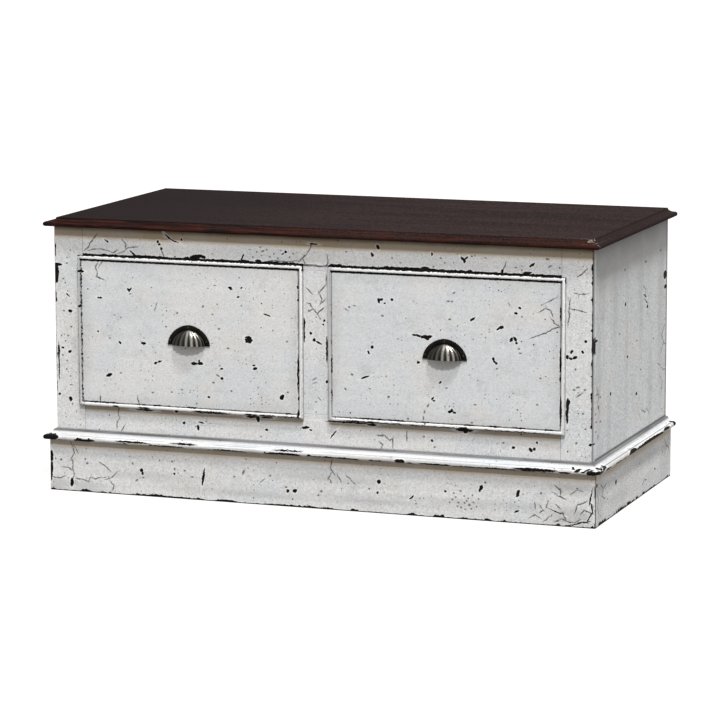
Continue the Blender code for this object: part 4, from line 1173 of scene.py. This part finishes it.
def add_dome(shape, wear, middle, base):
    """A quarter of a squeezed ellipsoid as a thin shell, ribbed outside, open below and behind."""
    count = RIB_COUNT * RIB_STEPS
    turns = [math.pi * step / count for step in range(count + 1)]
    falls = [step / DOME_STEPS for step in range(1, DOME_STEPS + 1)]
    outer = [[dome_point(middle, base, 0.0, RIB_DEPTH, turn, fall) for turn in turns] for fall in falls]
    inner = [[dome_point(middle, base, DOME_WALL, 0.0, turn, fall) for turn in turns] for fall in falls]
    inner = [[(point, WEAR_INSIDE) for point, _ in row] for row in inner]
    rim = []
    for step in range(1, RIM_STEPS):
        angle = math.pi * step / RIM_STEPS
        row = []
        for (out, bright), (within, _) in zip(outer[-1], inner[-1]):
            point = (out + within) / 2 + (out - within) / 2 * math.cos(angle)
            point.z -= DOME_DROP * math.sin(angle)
            row.append((point, bright))
        rim.append(row)
    grid = []
    for row in outer + rim + inner[::-1]:
        made = []
        for point, bright in row:
            vert = shape.verts.new(point)
            vert[wear] = bright
            made.append(vert)
        grid.append(made)
    poles = []
    for wall, bright in ((0.0, WEAR_DOME_TOP), (DOME_WALL, WEAR_INSIDE)):
        vert = shape.verts.new(dome_point(middle, base, wall, 0.0, math.pi / 2, 0.0)[0])
        vert[wear] = bright
        poles.append(vert)
    for left in range(count):
        shape.faces.new((poles[0], grid[0][left], grid[0][left + 1]))
        shape.faces.new((poles[1], grid[-1][left + 1], grid[-1][left]))
    for upper, lower in zip(grid, grid[1:]):
        for left in range(count):
            shape.faces.new((upper[left], lower[left], lower[left + 1], upper[left + 1]))
    half = len(grid) // 2
    for end in (0, -1):
        edge = [row[end] for row in grid]
        pairs = list(zip([poles[0]] + edge[:half], [poles[1]] + edge[::-1][:half]))
        for (out, within), (next_out, next_within) in zip(pairs, pairs[1:]):
            shape.faces.new((out, within, next_within, next_out))
        if edge[half] not in pairs[-1]:
            shape.faces.new((*pairs[-1], edge[half]))


def add_flange(shape, wear, middle, base):
    """The flat arched ring round the dome, with a rounded outer edge."""
    back = FIELD_FACE - SEAT_GAP
    hidden = FLANGE_WIDTH + DOME_WALL + RIB_DEPTH
    turns = [math.pi * step / FLANGE_STEPS for step in range(FLANGE_STEPS + 1)]
    inside = [pull_outline(PULL_WIDTH / 2 - hidden, PULL_HEIGHT - hidden, turn) for turn in reversed(turns)]
    sections = [(0.0, 0.0)]
    for x, y in arc((0.0, 0.0), (FLANGE_ROUND, FLANGE_ROUND), 0, 90, FLANGE_ROUND_STEPS):
        sections.append((FLANGE_ROUND - x, FLANGE_THICKNESS - FLANGE_ROUND + y))
    loops = []
    for inset, rise in sections:
        outside = [pull_outline(PULL_WIDTH / 2 - inset, PULL_HEIGHT - inset, turn) for turn in turns]
        loops.append([(middle + x, back - rise, base + z) for x, z in outside + inside])
    for row in skin(shape, loops):
        for number, vert in enumerate(row):
            vert[wear] = WEAR_FLANGE_EDGE if number <= FLANGE_STEPS else WEAR_FLANGE_INSIDE


def build_pull(word, look):
    low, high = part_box(word + "_cup_pull")
    middle = (low.x + high.x) / 2
    base = high.z - PULL_HEIGHT
    shape = bmesh.new()
    wear = shape.verts.layers.float.new("wear")
    add_dome(shape, wear, middle, base)
    add_flange(shape, wear, middle, base)
    stands_for(add_piece(word + "_pull", shape, look), word + "_cup_pull")


def build_pin(node, look):
    """A pin with a round head."""
    low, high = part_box(node)
    middle = (low + high) / 2
    radius = (high.x - low.x) / 2
    seat = low.y + PIN_HEAD_HEIGHT
    head = arc((0.0, seat), (radius, PIN_HEAD_HEIGHT), PIN_HEAD_START, 360, PIN_HEAD_STEPS)
    profile = head + [(PIN_SHANK_RADIUS, seat), (PIN_SHANK_RADIUS, high.y)]
    turns = [2 * math.pi * step / PIN_SIDES for step in range(PIN_SIDES)]
    shape = bmesh.new()
    wear = shape.verts.layers.float.new("wear")
    loops = []
    for out, y in profile:
        ring = [(out * math.cos(turn), out * math.sin(turn)) for turn in turns]
        loops.append([(middle.x + across, y, middle.z + up) for across, up in ring])
    for row, (out, _) in zip(skin(shape, loops), profile):
        for vert in row:
            vert[wear] = WEAR_PIN_TOP - WEAR_PIN_FALL * out / radius
    stands_for(add_piece(node.replace("_pull_", "_") + "_head", shape, look), node)


def build_paints():
    """One paint for each painted face, with that face's own marks."""
    front, back, side = BODY_FRONT * MM, BODY_BACK * MM, HALF_WIDTH * MM
    under_top = TOP_LOW.z * MM
    plinth_low, plinth_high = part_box("plinth_front")
    foot, corner, plinth_top = plinth_low.y * MM, plinth_high.x * MM, plinth_high.z * MM
    moulding_low, moulding_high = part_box("base_moulding_front")
    nose = (moulding_low.y + MOULDING_NOSE_RADIUS) * MM
    nose_low = moulding_low.z * MM
    nose_top = (moulding_low.z + 2 * MOULDING_NOSE_RADIUS) * MM
    seam = moulding_high.z * MM
    paints = {}

    # The drawers and the rails round them
    drawers = {"left": (LEFT_DRAWER, LEFT_DRAWER_COAT), "right": (RIGHT_DRAWER, RIGHT_DRAWER_COAT)}
    for seed, (word, (marks, coat)) in enumerate(drawers.items(), 1):
        low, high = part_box(word + "_drawer_front")
        size = ((high.x - low.x) * MM, (high.z - low.z) * MM)
        paints[word + "_drawer_front"] = painted(
            word + "_drawer_paint", seed, marks, corner=(low.x * MM, low.z * MM), lip=size, **coat
        )
    low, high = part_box("left_drawer_front")
    clear = -high.x * MM
    junction = [("X", (0.0, front, seam), *FRONT_SEAM)]
    # Worn paint and painted shade: a black line on the rail in the gap above the lips
    above_lips = [("X", (0.0, front, high.z * MM), *RAIL_ARRIS, clear)]
    paints["top_rail"] = painted(
        "top_rail_paint", 3, TOP_RAIL, shade_and_grime_below=(under_top, RAIL_SHADE), edges=above_lips, **RAIL_COAT
    )
    paints["bottom_rail"] = painted(
        "bottom_rail_paint", 4, BOTTOM_RAIL, shade_and_grime_below=(low.z * MM, LOW_RAIL_SHADE), clear=clear, seams=junction,
        **RAIL_COAT,
    )
    paints["centre_muntin"] = painted("muntin_paint", 5, MUNTIN, **MUNTIN_COAT)

    # The front of the base, and the back
    arrises = [("X", (0.0, foot, 0.0), *FOOT_ARRIS)]
    arrises += [("Z", (end, foot, 0.0), *PLINTH_CORNER) for end in (corner, -corner)]
    paints["plinth_front"] = painted(
        "front_plinth_paint", 12, PLINTH_FRONT, shade_and_grime_below=(plinth_top, PLINTH_SHADE), edges=arrises, **PLINTH_COAT
    )
    # Painted shade down the cove, and grey grime in the joint at its cap
    cove_shade_and_grime = (seam, ((seam - nose_top, *COVE_SHADE), COVE_SEAM_DIRT))
    lines = [("X", (0.0, nose, nose_top), *NOSE_SEAM), ("X", (0.0, front, seam), *CAP_SEAM)]
    paints["front"] = painted(
        "front_moulding_paint", 13, MOULDING_FRONT, shade_and_grime_below=cove_shade_and_grime,
        edges=[("X", (0.0, nose, nose_low), *NOSE_ARRIS)], seams=lines, **MOULDING_COAT,
    )
    paints["back_panel"] = painted("back_paint", 16, {})
    paints["plinth_back"] = painted("back_plinth_paint", 17, {})

    # Both ends, and the stiles beside them
    left_moulding = mirrored(RIGHT_MOULDING, MOULDING_MIRROR)
    left_moulding["chips"] = [chip for chip in left_moulding["chips"] if chip[0] < LEFT_CHIPS_END]
    left_side, left_plinth = mirrored(RIGHT_SIDE, SIDE_MIRROR), mirrored(RIGHT_PLINTH, PLINTH_MIRROR)
    left = (-1, LEFT_STILE, left_side, left_plinth, left_moulding)
    right = (1, RIGHT_STILE, RIGHT_SIDE, RIGHT_PLINTH, RIGHT_MOULDING)
    for number, (word, ends) in enumerate((("left", left), ("right", right))):
        sign, stile, panel, plinth, moulding = ends
        edge, nose_edge = sign * side, sign * (side + front - nose)
        plinth_corner = (sign * corner, foot, 0.0)
        paints[word + "_stile"] = painted(
            word + "_stile_paint", 6 + number, stile, shade_and_grime_below=(under_top, RAIL_SHADE), seams=junction,
            edges=[("Z", (edge, front, 0.0), *STILE_ARRIS)], flank=(front, STILE_FLANK), **STILE_COAT,
        )
        paints[word + "_side_panel"] = painted(
            word + "_side_paint", 8 + number, panel, corner=(front, 0.0), shade_and_grime_below=(under_top, SIDE_SHADE),
            edges=[("Z", (edge, back, 0.0), *SIDE_ARRIS)], seams=[("Y", (edge, 0.0, seam), *SIDE_SEAM)],
            flank=(back, SIDE_FLANK), **SIDE_COAT,
        )
        paints["plinth_" + word] = painted(
            word + "_plinth_paint", 10 + number, plinth, corner=(front, 0.0),
            shade_and_grime_below=(plinth_top, PLINTH_END_SHADE), seams=[("Z", plinth_corner, *PLINTH_SEAM)],
            edges=[("Y", plinth_corner, *FOOT_END_ARRIS), ("Z", plinth_corner, *PLINTH_CORNER)],
            **PLINTH_END_COAT,
        )
        paints[word] = painted(
            word + "_moulding_paint", 14 + number, moulding, "Y", corner=(front, 0.0), shade_and_grime_below=cove_shade_and_grime,
            edges=[("Y", (nose_edge, 0.0, nose_low), *NOSE_END_ARRIS)],
            seams=[("Y", (nose_edge, 0.0, nose_top), *NOSE_END_SEAM), ("Y", (edge, 0.0, seam), *CAP_SEAM)],
            **MOULDING_COAT,
        )
    return paints


def dress_boards(paints, woods):
    painted_nodes = [
        "top_rail", "bottom_rail", "centre_muntin", "left_stile", "right_stile", "left_side_panel",
        "right_side_panel", "plinth_left", "plinth_right", "plinth_front", "plinth_back", "back_panel",
    ]
    for node in painted_nodes:
        dress(node, paints[node])
    for node, piece in NODES.items():
        if node in painted_nodes or piece.hide_render:
            continue
        low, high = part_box(node)
        sizes = high - low
        axis = "XYZ"[max(range(3), key=lambda number: sizes[number])]
        dress(node, woods[axis])


def looked_at(tree):
    """1 for what is seen, also in a reflection or through glass, and 0 for what only sheds light."""
    rays = add_node(tree, "LightPath", {}).socket.node.outputs
    seen, *others = [Value(rays[f"Is {kind} Ray"]) for kind in ("Camera", "Glossy", "Transmission")]
    return seen.most(*others)


def lay_floor():
    """A plain floor that looks white and keeps the chest's soft shadow."""
    look = Look("floor", FLOOR_ROUGHNESS, 0.0)
    glow = looked_at(look.tree) * FLOOR_GLOW
    look.give(Base_Color=FLOOR_COLOUR, Emission_Color=WHITE, Emission_Strength=glow)
    shape = bmesh.new()
    corners = [(-1, -1), (1, -1), (1, 1), (-1, 1)]
    shape.faces.new([shape.verts.new((x * FLOOR_REACH, y * FLOOR_REACH, -FLOOR_DROP)) for x, y in corners])
    add_piece("floor", shape, look.material)


def direction(azimuth, elevation):
    """The way from the chest to something at that azimuth, from the front to the right, and elevation."""
    flat = math.cos(elevation)
    return Vector((math.sin(azimuth) * flat, -math.cos(azimuth) * flat, math.sin(elevation)))


def light_room():
    """Soft light from all round, which looks white, and the lamps."""
    scene = bpy.context.scene
    scene.view_settings.view_transform = "Standard"
    scene.world = bpy.data.worlds.new("room")
    scene.world.use_nodes = True
    tree = scene.world.node_tree
    soft = tree.nodes["Background"]
    feed(soft.inputs["Color"], AMBIENT)
    plain = add_node(tree, "Background", {"Color": WHITE})
    choice = add_node(tree, "MixShader", {0: looked_at(tree), 1: Value(soft.outputs[0]), 2: plain})
    feed(tree.nodes["World Output"].inputs["Surface"], choice)
    for name, (azimuth, elevation, level, spread, colour) in LAMPS.items():
        lamp = bpy.data.lights.new(name, "SUN")
        lamp.energy = level * math.pi
        lamp.angle = math.radians(spread)
        lamp.color = colour
        holder = bpy.data.objects.new(name, lamp)
        toward = direction(math.radians(azimuth), math.radians(elevation))
        holder.rotation_euler = toward.to_track_quat("Z", "Y").to_euler()
        holder.visible_glossy = name not in NO_GLINT
        scene.collection.objects.link(holder)


def place_camera():
    back = direction(VIEW_AZIMUTH, VIEW_ELEVATION)
    right = Vector((math.cos(VIEW_AZIMUTH), math.sin(VIEW_AZIMUTH), 0.0))
    up = back.cross(right)
    turned_right = right * math.cos(VIEW_ROLL) + up * math.sin(VIEW_ROLL)
    turned_up = up * math.cos(VIEW_ROLL) - right * math.sin(VIEW_ROLL)
    lens = bpy.data.cameras.new("photo_view")
    lens.lens = VIEW_LENS
    lens.sensor_width = VIEW_SENSOR
    lens.clip_end = VIEW_END
    camera = bpy.data.objects.new("photo_view", lens)
    turn = Matrix((turned_right, turned_up, back)).transposed().to_4x4()
    camera.matrix_world = Matrix.Translation(VIEW_TARGET + back * VIEW_DISTANCE) @ turn
    bpy.context.scene.collection.objects.link(camera)
    bpy.context.scene.camera = camera


def build_chest():
    paints = build_paints()
    woods = {axis: bare_wood("bare_wood_" + axis.lower(), axis, seed) for seed, axis in enumerate("XYZ", 1)}
    metal = bronze()
    build_top(stained())
    build_mouldings(paints)
    for word in ("left", "right"):
        build_drawer_front(word, paints[word + "_drawer_front"], woods["X"])
        build_pull(word, metal)
        for end in ("top", "left", "right"):
            build_pin(f"{word}_pull_{end}_pin", metal)
    dress_boards(paints, woods)


build_chest()
lay_floor()
light_room()
place_camera()
